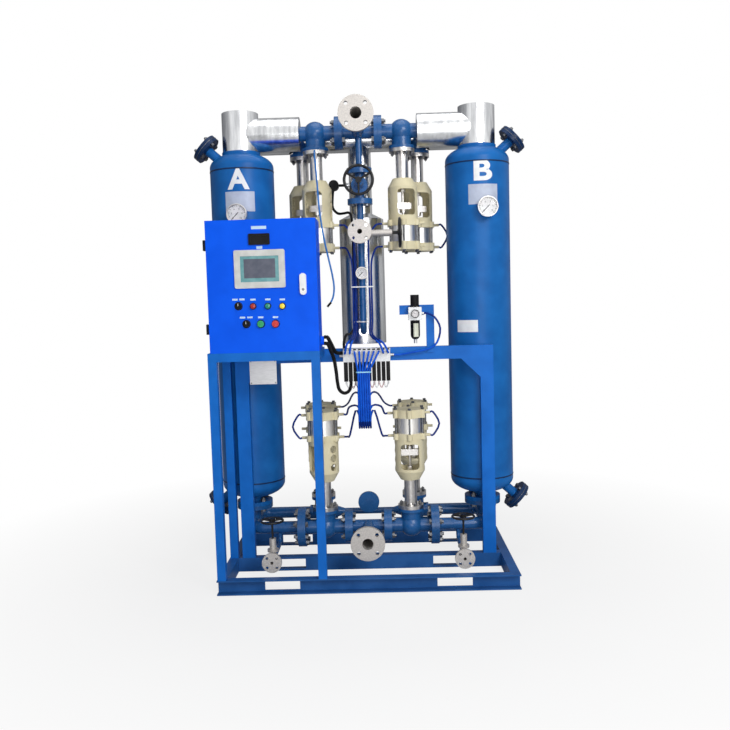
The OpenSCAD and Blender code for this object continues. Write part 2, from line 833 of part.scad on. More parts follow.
// Side, axis from the middle, place behind the middle, height, stack direction, turn of the yoke
valve_sites = [
  [a_side, valve_x, inlet_y, inlet_z, 1, 45],
  [b_side, valve_x, inlet_y, inlet_z, 1, 0],
  [a_side, exhaust_x, purge_out_y, inlet_z, 1, 0],
  [b_side, exhaust_x, purge_out_y, inlet_z, 1, 0],
  [a_side, valve_x, tower_y, outlet_z, -1, 15],
  [b_side, valve_x, tower_y, outlet_z, -1, 15],
  [a_side, regen_x, rear_y, outlet_z, -1, 15],
  [b_side, regen_x, rear_y, outlet_z, -1, 15]
];
inlet_a = 0;
inlet_b = 1;
exhaust_a = 2;
exhaust_b = 3;
outlet_a = 4;
outlet_b = 5;
regen_a = 6;
regen_b = 7;
valve_list = [inlet_a, inlet_b, exhaust_a, exhaust_b, outlet_a, outlet_b, regen_a, regen_b];
lower_front = [inlet_a, inlet_b];
front_valves = [inlet_a, inlet_b, outlet_a, outlet_b];

module at_valve(i) {
  site = valve_sites[i];
  translate([site[0] * site[1], site[2], site[3]]) facing(site[0], site[4]) children();
}

seat_t = 8;
chamber_d = 76;
chamber_low = -34;
seat_hole = 48;
low_port_d = 24;
high_port_d = 40;
low_port_z = -21;
high_port_z = 22;
end_bore = 52;
end_bore_depth = 22;
body_flange_t = 16;
half_length = valve_x - joint_x;

module valve_body(i) {
  flanged_in = len(search(i, front_valves)) > 0;
  flanged_out = len(search(i, lower_front)) > 0;
  inner = flanged_in ? half_length : weld_neck;
  outer = flanged_out ? half_length : weld_neck;
  difference() {
    union() {
      sphere(d = belly_d);
      cylinder(d = column_d, h = bonnet_rise);
      translate([0, 0, bonnet_rise - body_flange_t]) cylinder(d = bonnet_flange_d, h = body_flange_t);
      to_neg_x() cylinder(d = neck_d, h = inner);
      to_x() cylinder(d = neck_d, h = outer);
      if (flanged_in)
        translate([-inner, 0, 0]) header_flange(port_d, port_pcd, cross_hole);
      if (flanged_out)
        translate([outer - flange_t, 0, 0]) header_flange(outer_flange_d, outer_pcd, outer_count);
    }
    cylinder(d = chamber_d, h = bonnet_rise + eps);
    translate([0, 0, chamber_low]) cylinder(d = chamber_d, h = -chamber_low - seat_t);
    translate([0, 0, -seat_t - eps]) cylinder(d = seat_hole, h = seat_t + 2 * eps);
    translate([0, 0, low_port_z]) to_neg_x() cylinder(d = low_port_d, h = inner);
    translate([0, 0, high_port_z]) to_x() cylinder(d = high_port_d, h = outer - end_bore_depth / 2);
    translate([-inner - eps, 0, 0]) to_x() cylinder(d = end_bore, h = end_bore_depth + eps);
    translate([outer - end_bore_depth, 0, 0]) to_x() cylinder(d = end_bore, h = end_bore_depth + eps);
  }
}

module valve_bodies() {
  color(paint) for (i = valve_list) at_valve(i) valve_body(i);
}

bonnet_top = bonnet_rise + bonnet_flange_t + bonnet_len;
spigot_d = 40;
spigot_h = 44;
gland_d = 34;
gland_h = 22;

module valve_bonnets() {
  color(steel) for (i = valve_list) at_valve(i) difference() {
    union() {
      translate([0, 0, bonnet_rise]) cylinder(d = bonnet_flange_d, h = bonnet_flange_t);
      translate([0, 0, bonnet_rise]) cylinder(d = bonnet_d, h = bonnet_top - bonnet_rise);
      translate([0, 0, bonnet_top]) cylinder(d = spigot_d, h = spigot_h);
      translate([0, 0, bonnet_top + spigot_h]) cylinder(d = gland_d, h = gland_h, $fn = 6);
    }
    translate([0, 0, bonnet_rise - eps])
      cylinder(d = stem_d + 2 * running, h = bonnet_len + bonnet_flange_t + spigot_h + gland_h + 2 * eps);
  }
}

yoke_top = bonnet_top + yoke_h;
yoke_base_d = 100;
yoke_base_h = 35;
yoke_flare = 45;
yoke_slots = 3;
yoke_slot_d = 38;
yoke_slot_pitch = 46;
yoke_first_slot = 78;
window_low = 58;
window_high = 22;
window_r = 18;

module valve_yokes() {
  outer = yoke_d / 2;
  inner = outer - yoke_wall;
  hole = spigot_d / 2 + fit;
  window_h = yoke_h - window_low - window_high;
  color(cream) for (i = valve_list) at_valve(i) translate([0, 0, bonnet_top]) rotate([0, 0, valve_sites[i][5]])
    difference() {
      rotate_extrude() polygon([
        [hole, 0], [yoke_base_d / 2, 0], [outer, yoke_flare], [outer, yoke_h],
        [inner, yoke_h], [inner, yoke_flare + yoke_wall], [yoke_base_d / 2 - yoke_wall, yoke_base_h], [hole, yoke_base_h]
      ]);
      translate([0, outer, window_low + window_h / 2]) rotate([90, 0, 0])
        rounded_plate(window_w, window_h, window_r, yoke_d);
      for (k = [0 : yoke_slots - 1])
        translate([-outer, 0, yoke_first_slot + k * yoke_slot_pitch]) to_x() cylinder(d = yoke_slot_d, h = yoke_d);
    }
}

barrel_low = yoke_top + low_cap_t;
barrel_high = barrel_low + barrel_len;
cap_top = barrel_high + top_cap_t;

module actuator_barrels() {
  color(steel) for (i = valve_list) at_valve(i)
    translate([0, 0, barrel_low]) tube(barrel_d, barrel_wall, barrel_len);
}

rod_count = 6;
rod_d = 10;
rod_head = 9;
rod_head_d = 18;
lobe_d = 28;
rod_circle = cap_d - lobe_d;
port_stub_d = 14;
port_stub = 16;

// A cap with lobes for the tie rods and an air fitting on either side
module actuator_cap(t) {
  linear_extrude(t) difference() {
    union() {
      circle(d = rod_circle);
      on_circle(rod_circle, rod_count) circle(d = lobe_d);
    }
    on_circle(rod_circle, rod_count) circle(d = rod_d + 2 * fit);
  }
  for (turn = [0, 180]) rotate([0, 0, turn]) translate([0, 0, t / 2]) to_x()
    cylinder(d = port_stub_d, h = cap_d / 2 + port_stub);
}

module actuator_caps() {
  color(cream) for (i = valve_list) at_valve(i) {
    translate([0, 0, yoke_top]) difference() {
      actuator_cap(low_cap_t);
      translate([0, 0, -eps]) cylinder(d = stem_d + 2 * running, h = low_cap_t + 2 * eps);
    }
    translate([0, 0, barrel_high]) actuator_cap(top_cap_t);
  }
}

plug_d = 60;
plug_h = 12;
seat_gap = 0.5;
clamp_w = 88;
clamp_d = 26;
clamp_h = 32;
clamp_z = bonnet_top + 122;
boot_d = 34;
boot_h = 18;
piston_h = 20;

module valve_stem(i) {
  piston_z = barrel_low + seat_gap + 3;
  color(steel) at_valve(i) {
    translate([0, 0, seat_gap]) cylinder(d = plug_d, h = plug_h);
    translate([0, 0, seat_gap]) cylinder(d = stem_d, h = piston_z + piston_h - seat_gap);
    rotate([0, 0, valve_sites[i][5]]) translate([-clamp_w / 2, -clamp_d / 2, clamp_z])
      cube([clamp_w, clamp_d, clamp_h]);
    translate([0, 0, clamp_z + clamp_h]) cylinder(d = boot_d, h = boot_h);
    translate([0, 0, piston_z]) cylinder(d = barrel_d - 2 * barrel_wall - 2 * fit, h = piston_h);
  }
}

module inlet_stem_a() { valve_stem(inlet_a); }
module inlet_stem_b() { valve_stem(inlet_b); }
module exhaust_stem_a() { valve_stem(exhaust_a); }
module exhaust_stem_b() { valve_stem(exhaust_b); }
module outlet_stem_a() { valve_stem(outlet_a); }
module outlet_stem_b() { valve_stem(outlet_b); }
module regen_stem_a() { valve_stem(regen_a); }
module regen_stem_b() { valve_stem(regen_b); }

// Purge line

purge_pcd = purge_flange_d - 32;
tap_d = 40;
tap_face = tower_y - 42;
gauge_boss_d = 24;
gauge_boss_face = tower_y - 36;

module purge_pipe() {
  top = purge_z - purge_half;
  bend_z = heater_inlet_z + purge_bend;
  bore = small_pipe_d - 2 * pipe_t;
  color(paint) difference() {
    union() {
      translate([0, tower_y, top - small_flange_t])
        blank_flange(purge_flange_d, small_flange_t, purge_pcd, cross_hole, small_hole_d);
      translate([0, tower_y, bend_z]) cylinder(d = small_pipe_d, h = top - bend_z);
      translate([0, tower_y + purge_bend, bend_z]) rotate([0, 90, 0]) rotate([180, 0, 0])
        quarter_bend(small_pipe_d, purge_bend);
      translate([0, tower_y, test_z]) to_neg_y() cylinder(d = tap_d, h = tower_y - tap_face);
      translate([0, tower_y, line_gauge_z]) to_neg_y() cylinder(d = gauge_boss_d, h = tower_y - gauge_boss_face);
    }
    translate([0, tower_y, bend_z]) cylinder(d = bore, h = top - bend_z + eps);
    translate([0, tower_y + purge_bend, bend_z]) rotate([0, 90, 0]) rotate([180, 0, 0])
      quarter_bend(bore, purge_bend);
    translate([0, tower_y, test_z]) to_neg_y() cylinder(d = test_bore, h = tower_y - tap_face + eps);
  }
}

purge_belly = 76;
purge_neck_d = 48;
purge_bonnet_d = 44;
bonnet_pad_d = 84;
bonnet_pad_t = 22;
bonnet_nose = 24;
wheel_stem_d = 16;
stem_root = 20;

// A hand valve body: the pipe runs along Z, the bonnet along -Y up to the given length
module hand_valve_body(half, belly, neck, bonnet, flange, bore, stem) {
  difference() {
    union() {
      sphere(d = belly);
      translate([0, 0, -half]) cylinder(d = neck, h = 2 * half);
      to_neg_y() cylinder(d = bonnet, h = stem);
      translate([0, -belly / 2, 0]) to_neg_y() cylinder(d = flange, h = bonnet_pad_t);
    }
    translate([0, 0, -half - eps]) cylinder(d = bore, h = 2 * half + 2 * eps);
    translate([0, -stem_root, 0]) to_neg_y() cylinder(d = wheel_stem_d + 2 * running, h = stem);
  }
}

module purge_valve_body() {
  reach = tower_y - wheel_plane - rim_d - bonnet_nose;
  color(paint) translate([0, tower_y, purge_z]) difference() {
    union() {
      hand_valve_body(purge_half, purge_belly, purge_neck_d, purge_bonnet_d, bonnet_pad_d,
                      small_pipe_d - 2 * pipe_t, reach);
      for (up = sides) mirror([0, 0, up < 0 ? 1 : 0]) translate([0, 0, purge_half - small_flange_t])
        blank_flange(purge_flange_d, small_flange_t, purge_pcd, cross_hole, small_hole_d);
    }
    translate([0, 0, -purge_half - eps]) cylinder(d = small_pipe_d - 2 * pipe_t, h = 2 * purge_half + 2 * eps);
  }
}

spoke_count = 3;
spoke_d = 10;
hub_d = 30;
hub_h = 22;

// A handwheel in the XY plane with its stem along -Z
module handwheel(d, rim, stem, length) {
  rotate_extrude($fn = 64) translate([(d - rim) / 2, 0]) circle(d = rim);
  translate([0, 0, -hub_h / 2]) cylinder(d = hub_d, h = hub_h);
  for (i = [0 : spoke_count - 1])
    rotate([0, 0, 30 + i * 360 / spoke_count]) to_x() cylinder(d = spoke_d, h = (d - rim) / 2);
  translate([0, 0, -length]) cylinder(d = stem, h = length);
}

module purge_handwheel() {
  color(black) translate([0, wheel_plane, purge_z]) to_neg_y()
    handwheel(wheel_d, rim_d, wheel_stem_d, tower_y - wheel_plane - stem_root - fit);
}

test_body_y = tower_y - 154;
test_belly = 66;
test_neck_d = 42;
test_bonnet_d = 34;

module test_valve_body() {
  reach = side_wheel_x - rim_d - bonnet_nose;
  color(steel) translate([0, 0, test_z]) difference() {
    union() {
      translate([0, test_body_y, 0]) rotate([0, 0, 45]) sphere(d = test_belly);
      translate([0, test_face, 0]) to_y() cylinder(d = test_neck_d, h = tap_face - test_face);
      translate([0, test_face, 0]) to_y() blank_flange(test_d, small_flange_t, test_pcd, cross_hole, small_hole_d);
      translate([0, test_body_y, 0]) to_x() cylinder(d = test_bonnet_d, h = reach);
      translate([test_belly / 2, test_body_y, 0]) to_x() cylinder(d = test_neck_d + rim_d, h = bonnet_pad_t);
    }
    translate([0, test_face - eps, 0]) to_y() cylinder(d = test_bore, h = tap_face - test_face + 2 * eps);
    translate([stem_root, test_body_y, 0]) to_x() cylinder(d = wheel_stem_d + 2 * running, h = reach);
  }
}

module test_handwheel() {
  color(black) translate([side_wheel_x, test_body_y, test_z]) to_x()
    handwheel(wheel_d, rim_d, wheel_stem_d, side_wheel_x - stem_root - fit);
}

// Drain valves

drain_body_y = -252;
drain_belly = 58;
drain_neck_d = 34;
drain_bonnet_d = 32;
drain_bonnet_top = 226;
drain_stem_d = 10;
drain_rim_d = 11;
drain_pad_d = 54;
drain_pad_t = 12;
drain_pad_z = 40;
drain_stem_foot = 22;

module drain_valve_bodies() {
  color(steel) for (s = sides) translate([s * drain_x, 0, drain_z]) difference() {
    union() {
      translate([0, drain_body_y, 0]) sphere(d = drain_belly);
      translate([0, drain_face, 0]) to_y() cylinder(d = drain_neck_d, h = drain_back - drain_face);
      translate([0, drain_face, 0]) to_y()
        blank_flange(drain_flange_d, small_flange_t, drain_pcd, cross_hole, small_hole_d);
      translate([0, drain_body_y, 0]) cylinder(d = drain_bonnet_d, h = drain_bonnet_top - drain_z);
      translate([0, drain_body_y, drain_pad_z]) cylinder(d = drain_pad_d, h = drain_pad_t);
    }
    translate([0, drain_face - eps, 0]) to_y() cylinder(d = drain_bore, h = drain_back - drain_face + 2 * eps);
    translate([0, drain_body_y, drain_stem_foot]) cylinder(d = drain_stem_d + 2 * running, h = drain_bonnet_top);
  }
}

module drain_handwheel(s) {
  color(black) translate([s * drain_x, drain_body_y, drain_wheel_z])
    handwheel(drain_wheel_d, drain_rim_d, drain_stem_d, drain_wheel_z - drain_z - drain_stem_foot - fit);
}

module drain_handwheel_a() { drain_handwheel(a_side); }
module drain_handwheel_b() { drain_handwheel(b_side); }

// Gauges: the face looks along -Y and the case starts at the back of its stem

gauge_stem = 16;
gauge_stem_d = 20;
gauge_wall = 3;
dial_depth = 10;
pivot_d = 5;
needle_w = 3;
needle_t = 1.2;
needle_lift = 3;
needle_rest = 135;
frl_y = -98;
frl_w = 64;
frl_d = 44;
frl_gauge_drop = 32;

module gauge_case(d, stem_d) {
  cylinder(d = stem_d, h = gauge_stem);
  translate([0, 0, gauge_stem]) difference() {
    cylinder(d = d, h = gauge_h);
    translate([0, 0, gauge_h - dial_depth]) cylinder(d = d - 2 * gauge_wall, h = dial_depth + eps);
    translate([0, 0, gauge_h / 3]) cylinder(d = pivot_d + 2 * running, h = gauge_h);
  }
}

// Children at a gauge stem's foot, +Z towards the viewer
module on_tower_gauge(s) {
  translate([s * (tower_x + gauge_out(s)), gauge_seat_y, gauge_z]) to_neg_y() children();
}

module on_line_gauge() {
  translate([0, gauge_boss_face, line_gauge_z]) to_neg_y() children();
}

module gauge_cases() {
  color("#d9dbdc") {
    for (s = sides) on_tower_gauge(s) gauge_case(gauge_d, gauge_stem_d);
    on_line_gauge() gauge_case(line_gauge_d, gauge_stem_d);
  }
}

// A needle with its pivot, at rest on the dial's zero
module needle(d) {
  dial = gauge_stem + gauge_h - dial_depth;
  translate([0, 0, gauge_stem + gauge_h / 3 + fit])
    cylinder(d = pivot_d, h = dial + needle_lift + needle_t - gauge_stem - gauge_h / 3 - fit);
  translate([0, 0, dial + needle_lift]) rotate([0, 0, needle_rest]) translate([-needle_w / 2, -d / 9, 0])
    cube([needle_w, d / 9 + d / 2.8, needle_t]);
}

module gauge_needle_a() { color(black) on_tower_gauge(a_side) needle(gauge_d); }
module gauge_needle_b() { color(black) on_tower_gauge(b_side) needle(gauge_d); }
module gauge_needle_line() { color(black) on_line_gauge() needle(line_gauge_d); }

// Cabinet

box_y = front_y + door_d + door_gap;
door_face = front_y;
louvre_count = 26;
louvre_pitch = 20;
louvre_first = 40;
louvre_h = 9;
louvre_depth = 14;
louvre_back = 60;
hinge_heights = [110, 490];
knuckle_d = 14;
knuckle_h = 46;
hinge_axis_x = cab_x - knuckle_d / 2 - fit;
hinge_axis_y = front_y + door_d / 2;
gland_y = -290;
gland_z = 1176;
gland_len = 14;

module cabinet_box() {
  depth = cab_d - door_d - door_gap;
  color(bright_blue) difference() {
    union() {
      translate([cab_x, box_y, cab_z]) cube([cab_w, depth, cab_h]);
      for (z = hinge_heights) {
        translate([hinge_axis_x, hinge_axis_y, cab_z + z - eps]) cylinder(d = hinge_pin_d, h = knuckle_h / 2 + 3 * eps);
        translate([hinge_axis_x, hinge_axis_y, cab_z + z - knuckle_h / 2]) cylinder(d = knuckle_d, h = knuckle_h / 2);
        translate([hinge_axis_x - knuckle_d / 2, hinge_axis_y, cab_z + z - knuckle_h / 2])
          cube([knuckle_d / 2, box_y - hinge_axis_y + knuckle_h / 2, knuckle_h / 2]);
        translate([hinge_axis_x - knuckle_d / 2, box_y + fit, cab_z + z - knuckle_h / 2])
          cube([knuckle_d + fit + eps, knuckle_h / 2, knuckle_h / 2]);
      }
      translate([cab_x + cab_w - eps, gland_y, gland_z]) to_x() cylinder(d = 3 * cable_d, h = gland_len + eps);
    }
    translate([cab_x + cab_sheet, box_y - eps, cab_z + cab_sheet])
      cube([cab_w - 2 * cab_sheet, depth - cab_sheet + eps, cab_h - 2 * cab_sheet]);
    for (i = [0 : louvre_count - 1])
      translate([cab_x + cab_w - cab_sheet - eps, box_y + louvre_back, cab_z + louvre_first + i * louvre_pitch])
        cube([cab_sheet + 2 * eps, louvre_depth, louvre_h]);
  }
}

// Panel fittings, measured from the door's lower left corner
hmi_w = 230;
hmi_h = 172;
hmi_at = [242, cab_h - 222];
hmi_proud = 8;
hmi_depth = 30;
meter_w = 96;
meter_h = 50;
meter_at = [244, cab_h - 89];
meter_depth = 36;
lamp_d = 30;
lamp_hole = 22.4;
lamp_shank = 22;
lamp_places = [[206, 211], [273, 210], [339, 208]];
mode_at = [139, 213];
power_at = [172, 131];
start_at = [238, 130];
stop_at = [305, 129];
handle_at = [436, 305];
handle_w = 30;
handle_h = 97;
handle_t = 14;
handle_shank = 18;

// Children on the door's face, +Z towards the viewer
module on_door(at) {
  translate([cab_x + at[0], door_face, cab_z + at[1]]) to_neg_y() children();
}

module cabinet_door() {
  color(bright_blue) difference() {
    union() {
      difference() {
        translate([cab_x, door_face, cab_z]) cube([cab_w, door_d, cab_h]);
        translate([cab_x + cab_sheet, door_face + cab_sheet, cab_z + cab_sheet])
          cube([cab_w - 2 * cab_sheet, door_d, cab_h - 2 * cab_sheet]);
      }
      for (z = hinge_heights) difference() {
        union() {
          translate([hinge_axis_x, hinge_axis_y, cab_z + z + fit]) cylinder(d = knuckle_d, h = knuckle_h / 2);
          translate([hinge_axis_x, hinge_axis_y - hinge_pin_d / 2, cab_z + z + fit])
            cube([knuckle_d / 2 + fit + eps, hinge_pin_d, knuckle_h / 2]);
        }
        translate([hinge_axis_x, hinge_axis_y, cab_z + z]) cylinder(d = hinge_pin_d + 2 * running, h = knuckle_h);
      }
    }
    on_door(hmi_at) translate([-hmi_w / 2 + hmi_proud, -hmi_h / 2 + hmi_proud, -door_d])
      cube([hmi_w - 2 * hmi_proud, hmi_h - 2 * hmi_proud, 2 * door_d]);
    on_door(meter_at) translate([-meter_w / 2 + cab_sheet, -meter_h / 2 + cab_sheet, -door_d])
      cube([meter_w - 2 * cab_sheet, meter_h - 2 * cab_sheet, 2 * door_d]);
    for (at = concat(lamp_places, [mode_at, power_at, start_at, stop_at]))
      on_door(at) translate([0, 0, -door_d]) cylinder(d = lamp_hole, h = 2 * door_d);
    on_door(handle_at) translate([0, 0, -door_d]) cylinder(d = handle_shank + 2 * running, h = 2 * door_d);
  }
}

cam_w = 16;
cam_len = 34;
cam_t = 4;

module door_handle() {
  color("#eef0f2") on_door(handle_at) {
    translate([0, 0, fit]) rounded_plate(handle_w, handle_h, handle_w / 2 - eps, handle_t);
    translate([0, 0, -door_d]) cylinder(d = handle_shank, h = door_d + fit + eps);
    translate([-cam_w / 2, -cam_len, -door_d]) cube([cam_w, cam_len, cam_t]);
  }
}

module hmi_panel() {
  color("#c9ccc9") on_door(hmi_at) difference() {
    union() {
      rounded_plate(hmi_w, hmi_h, hmi_proud, hmi_proud);
      translate([-hmi_w / 2 + hmi_proud + fit, -hmi_h / 2 + hmi_proud + fit, -hmi_depth])
        cube([hmi_w - 2 * hmi_proud - 2 * fit, hmi_h - 2 * hmi_proud - 2 * fit, hmi_depth + eps]);
    }
    translate([-hmi_w / 2 + hmi_screen_rim, -hmi_h / 2 + hmi_screen_rim, hmi_proud - cab_sheet])
      cube([hmi_w - 2 * hmi_screen_rim, hmi_h - 2 * hmi_screen_rim, hmi_proud]);
  }
}
hmi_screen_rim = 28;

module panel_meter() {
  color(black) on_door(meter_at) difference() {
    union() {
      rounded_plate(meter_w, meter_h, meter_rim, hmi_proud);
      translate([-meter_w / 2 + cab_sheet + fit, -meter_h / 2 + cab_sheet + fit, -meter_depth])
        cube([meter_w - 2 * cab_sheet - 2 * fit, meter_h - 2 * cab_sheet - 2 * fit, meter_depth + eps]);
    }
    translate([-meter_w / 2 + meter_window, -meter_h / 2 + meter_window, hmi_proud - cab_sheet])
      cube([meter_w - 2 * meter_window, meter_h - 2 * meter_window, hmi_proud]);
  }
}
meter_rim = 4;
meter_window = 10;

lens_d = 23;
lens_h = 12;
bezel_h = 6;

module pilot_lamps() {
  color("#c8ccd0") for (at = lamp_places) on_door(at) {
    cylinder(d = lamp_d, h = bezel_h);
    cylinder(d = lens_d, h = lens_h);
    translate([0, 0, -lamp_shank]) cylinder(d = lamp_hole - 2 * fit, h = lamp_shank + eps);
  }
}

lever_w = 8;
lever_len = 27;
lever_h = 16;
turn_shank_d = lamp_hole - 2 * running;

module selector(at, turn) {
  color(black) on_door(at) {
    translate([0, 0, fit]) cylinder(d = lamp_d, h = bezel_h);
    translate([0, 0, -lamp_shank]) cylinder(d = turn_shank_d, h = lamp_shank + bezel_h);
    rotate([0, 0, turn]) translate([-lever_w / 2, -lever_len / 2, bezel_h]) cube([lever_w, lever_len, lever_h - bezel_h]);
  }
}

module mode_selector() { selector(mode_at, 0); }
module power_selector() { selector(power_at, 0); }

press_gap = 6;
button_top = 14;

module push_button(at, tint) {
  color(tint) on_door(at) {
    translate([0, 0, press_gap]) cylinder(d = lamp_d, h = button_top - press_gap);
    translate([0, 0, -lamp_shank]) cylinder(d = turn_shank_d, h = lamp_shank + press_gap + eps);
  }
}

module start_button() { push_button(start_at, "#1aa24a"); }
module stop_button() { push_button(stop_at, "#d1202a"); }

gear_plate_inset = 25;
gear_standoff = 12;
gear_plate_t = 3;
controller_size = [190, 62, 110];
supply_size = [90, 70, 110];
contactor_size = [54, 72, 86];
contactor_count = 4;
contactor_pitch = 66;
terminal_size = [380, 40, 46];
duct_size = [420, 44, 30];
gear_top_row = cab_h - gear_plate_inset - controller_size[2] - 25;
gear_rows = [60, 150, 300, gear_top_row];

module control_gear() {
  inner_back = front_y + cab_d - cab_sheet;
  plate_y = inner_back - gear_standoff - gear_plate_t;
  left = cab_x + gear_plate_inset;
  color("#d7d4c4") {
    translate([left, plate_y, cab_z + gear_plate_inset])
      cube([cab_w - 2 * gear_plate_inset, gear_plate_t, cab_h - 2 * gear_plate_inset]);
    for (x = [left + gear_standoff, cab_x + cab_w - gear_plate_inset - gear_standoff],
         z = [cab_z + 2 * gear_plate_inset, cab_z + cab_h - 2 * gear_plate_inset])
      translate([x, plate_y, z]) to_y() cylinder(d = gear_standoff, h = gear_standoff + gear_plate_t);
    translate([left + gear_plate_inset, plate_y - terminal_size[1], cab_z + gear_rows[0]])
      cube(terminal_size + [0, eps, 0]);
    for (i = [0 : contactor_count - 1])
      translate([left + gear_plate_inset + i * contactor_pitch, plate_y - contactor_size[1], cab_z + gear_rows[1]])
        cube(contactor_size + [0, eps, 0]);
    translate([left + gear_standoff, plate_y - duct_size[1], cab_z + gear_rows[2]]) cube(duct_size + [0, eps, 0]);
    translate([left + gear_plate_inset, plate_y - controller_size[1], cab_z + gear_rows[3]])
      cube(controller_size + [0, eps, 0]);
    translate([left + 2 * gear_plate_inset + controller_size[0], plate_y - supply_size[1], cab_z + gear_rows[3]])
      cube(supply_size + [0, eps, 0]);
  }
}

// Air preparation and pilot valves

bracket_face = mid_y - plate_t;
neck_len = 10;
frl_neck_d = 30;
bowl_h = 72;
bowl_nose_d = 16;
bowl_nose = 18;
knob_h = 50;
knob_rib = 2;
knob_ribs = 18;
frl_stub_d = 16;
frl_stub = 12;
frl_stem_d = 12;

module regulator_unit() {
  color("#c9cbcd") {
    translate([frl_x - frl_w / 2, bracket_face - frl_d, frl_z]) difference() {
      cube([frl_w, frl_d, frl_h]);
      translate([frl_w / 2, frl_d / 2, frl_h - neck_len]) cylinder(d = frl_stem_d + 2 * running, h = frl_h);
    }
    translate([frl_x, bracket_face - frl_d / 2, frl_z - bowl_h]) {
      cylinder(d = bowl_d, h = bowl_h);
      sphere(d = bowl_d);
      translate([0, 0, -bowl_d / 2 - bowl_nose]) cylinder(d = bowl_nose_d, h = bowl_nose + bowl_d / 2);
    }
    translate([frl_x + frl_w / 2, bracket_face - frl_d / 2, frl_z + frl_h / 2]) to_x()
      cylinder(d = frl_stub_d, h = frl_stub);
    translate([frl_x, bracket_face - frl_d, frl_z + frl_gauge_drop]) to_neg_y() {
      cylinder(d = frl_stub_d, h = frl_stub);
      translate([0, 0, frl_stub]) difference() {
        cylinder(d = small_gauge_d, h = gauge_h / 2);
        translate([0, 0, gauge_h / 3]) cylinder(d = small_gauge_d - 2 * gauge_wall, h = gauge_h);
      }
    }
  }
}

module regulator_knob() {
  color(black) translate([frl_x, bracket_face - frl_d / 2, frl_z + frl_h]) {
    translate([0, 0, neck_len]) cylinder(d = knob_d - knob_rib, h = knob_h);
    translate([0, 0, neck_len]) on_circle(knob_d - knob_rib, knob_ribs) cylinder(d = knob_rib, h = knob_h);
    translate([0, 0, -neck_len + fit]) cylinder(d = frl_stem_d, h = 2 * neck_len);
    translate([0, 0, fit]) cylinder(d = frl_neck_d, h = neck_len);
  }
}

rail_h = 66;
rail_x = 16;
coil_h = 96;
coil_gap = 4;
coil_d = 34;
fitting_d = 13;
fitting_len = 18;
fitting_drop = 18;
rail_pitch = rail_w / stations;
rail_low_z = beam_low;
rail_top = rail_low_z + rail_h;
rail_left = rail_x - rail_w / 2;
rail_face = mid_y - rail_d;

module solenoid_manifold() {
  color("#c4c7ca") {
    translate([rail_left, rail_face, rail_low_z]) cube([rail_w, rail_d, rail_h]);
    for (i = [0 : stations - 1]) {
      x = rail_left + (i + 0.5) * rail_pitch;
      translate([x - rail_pitch / 2 + coil_gap / 2, rail_face + (rail_d - coil_d) / 2, rail_low_z - coil_h])
        cube([rail_pitch - coil_gap, coil_d, coil_h]);
      translate([x, rail_face, rail_top - fitting_drop]) to_neg_y() cylinder(d = fitting_d, h = fitting_len);
    }
    for (end = sides) translate([rail_x + end * rail_w / 2, mid_y - rail_d / 2, rail_top - 2 * fitting_drop])
      rotate([0, end * 90, 0]) cylinder(d = fitting_d, h = fitting_len);
  }
}

// Hoses and cables: each route is swept as one tube

tube_sides = 8;
steps = 3;

function unit(v) = v / norm(v);
// A point on the smooth curve through b and c, with a and d as neighbours
function curve_point(a, b, c, d, t) =
  0.5 * (2 * b + (c - a) * t + (2 * a - 5 * b + 4 * c - d) * t * t + (3 * b - a - 3 * c + d) * t * t * t);
function smooth(p) = let (n = len(p)) concat(
  [for (i = [0 : n - 2], k = [0 : steps - 1])
    curve_point(p[max(i - 1, 0)], p[i], p[i + 1], p[min(i + 2, n - 1)], k / steps)],
  [p[n - 1]]
);
function tangents(p, q) = let (n = len(q), m = len(p)) concat(
  [unit(p[1] - p[0])],
  [for (i = [1 : n - 2]) unit(q[i + 1] - q[i - 1])],
  [unit(p[m - 1] - p[m - 2])]
);
function square_to(v, t) = unit(v - (v * t) * t);
function any_normal(t) = square_to(abs(t[0]) < 0.8 ? [1, 0, 0] : [0, 1, 0], t);
function normals(t) = [for (i = 0, n = any_normal(t[0]); i < len(t);
  i = i + 1, n = i < len(t) ? square_to(n, t[i]) : n) n];

// A tube along a route of hand-set points
module swept_tube(route, d) {
  q = smooth(route);
  t = tangents(route, q);
  u = normals(t);
  rings = len(q);
  points = [for (i = [0 : rings - 1], k = [0 : tube_sides - 1])
    let (a = 360 * k / tube_sides) q[i] + d / 2 * (cos(a) * u[i] + sin(a) * cross(t[i], u[i]))];
  walls = [for (i = [0 : rings - 2], k = [0 : tube_sides - 1])
    let (m = (k + 1) % tube_sides, b = i * tube_sides, c = b + tube_sides)
    each [[b + k, c + k, b + m], [b + m, c + k, c + m]]];
  first = [[for (k = [0 : tube_sides - 1]) k]];
  last = [[for (k = [0 : tube_sides - 1]) rings * tube_sides - 1 - k]];
  polyhedron(points = points, faces = concat(walls, first, last));
}

// Where hoses meet their fittings
stub_reach = cap_d / 2 + port_stub;
low_port = yoke_top + low_cap_t / 2;
high_port = barrel_high + top_cap_t / 2;
hose_start_y = rail_face - fitting_len;
hose_start_z = rail_top - fitting_drop;
fan_y = hose_start_y - 25;
bundle_y = -160;
bundle_back = -84;
bundle_pitch = 11;

lead = 16;

function fitting_x(i) = rail_left + (i + 0.5) * rail_pitch;
// The way from station i into the bundle and round its foot
function bundle_route(i, x) = [
  [fitting_x(i), hose_start_y, hose_start_z],
  [fitting_x(i), fan_y, hose_start_z],
  [x + (fitting_x(i) - x) / 2, bundle_y, 1060],
  [x, bundle_y, 1010],
  [x, bundle_y - 4, 920],
  [x, bundle_y - 2, 800],
  [x, (bundle_y + bundle_back) / 2, 732],
  [x, bundle_back, 780]
];
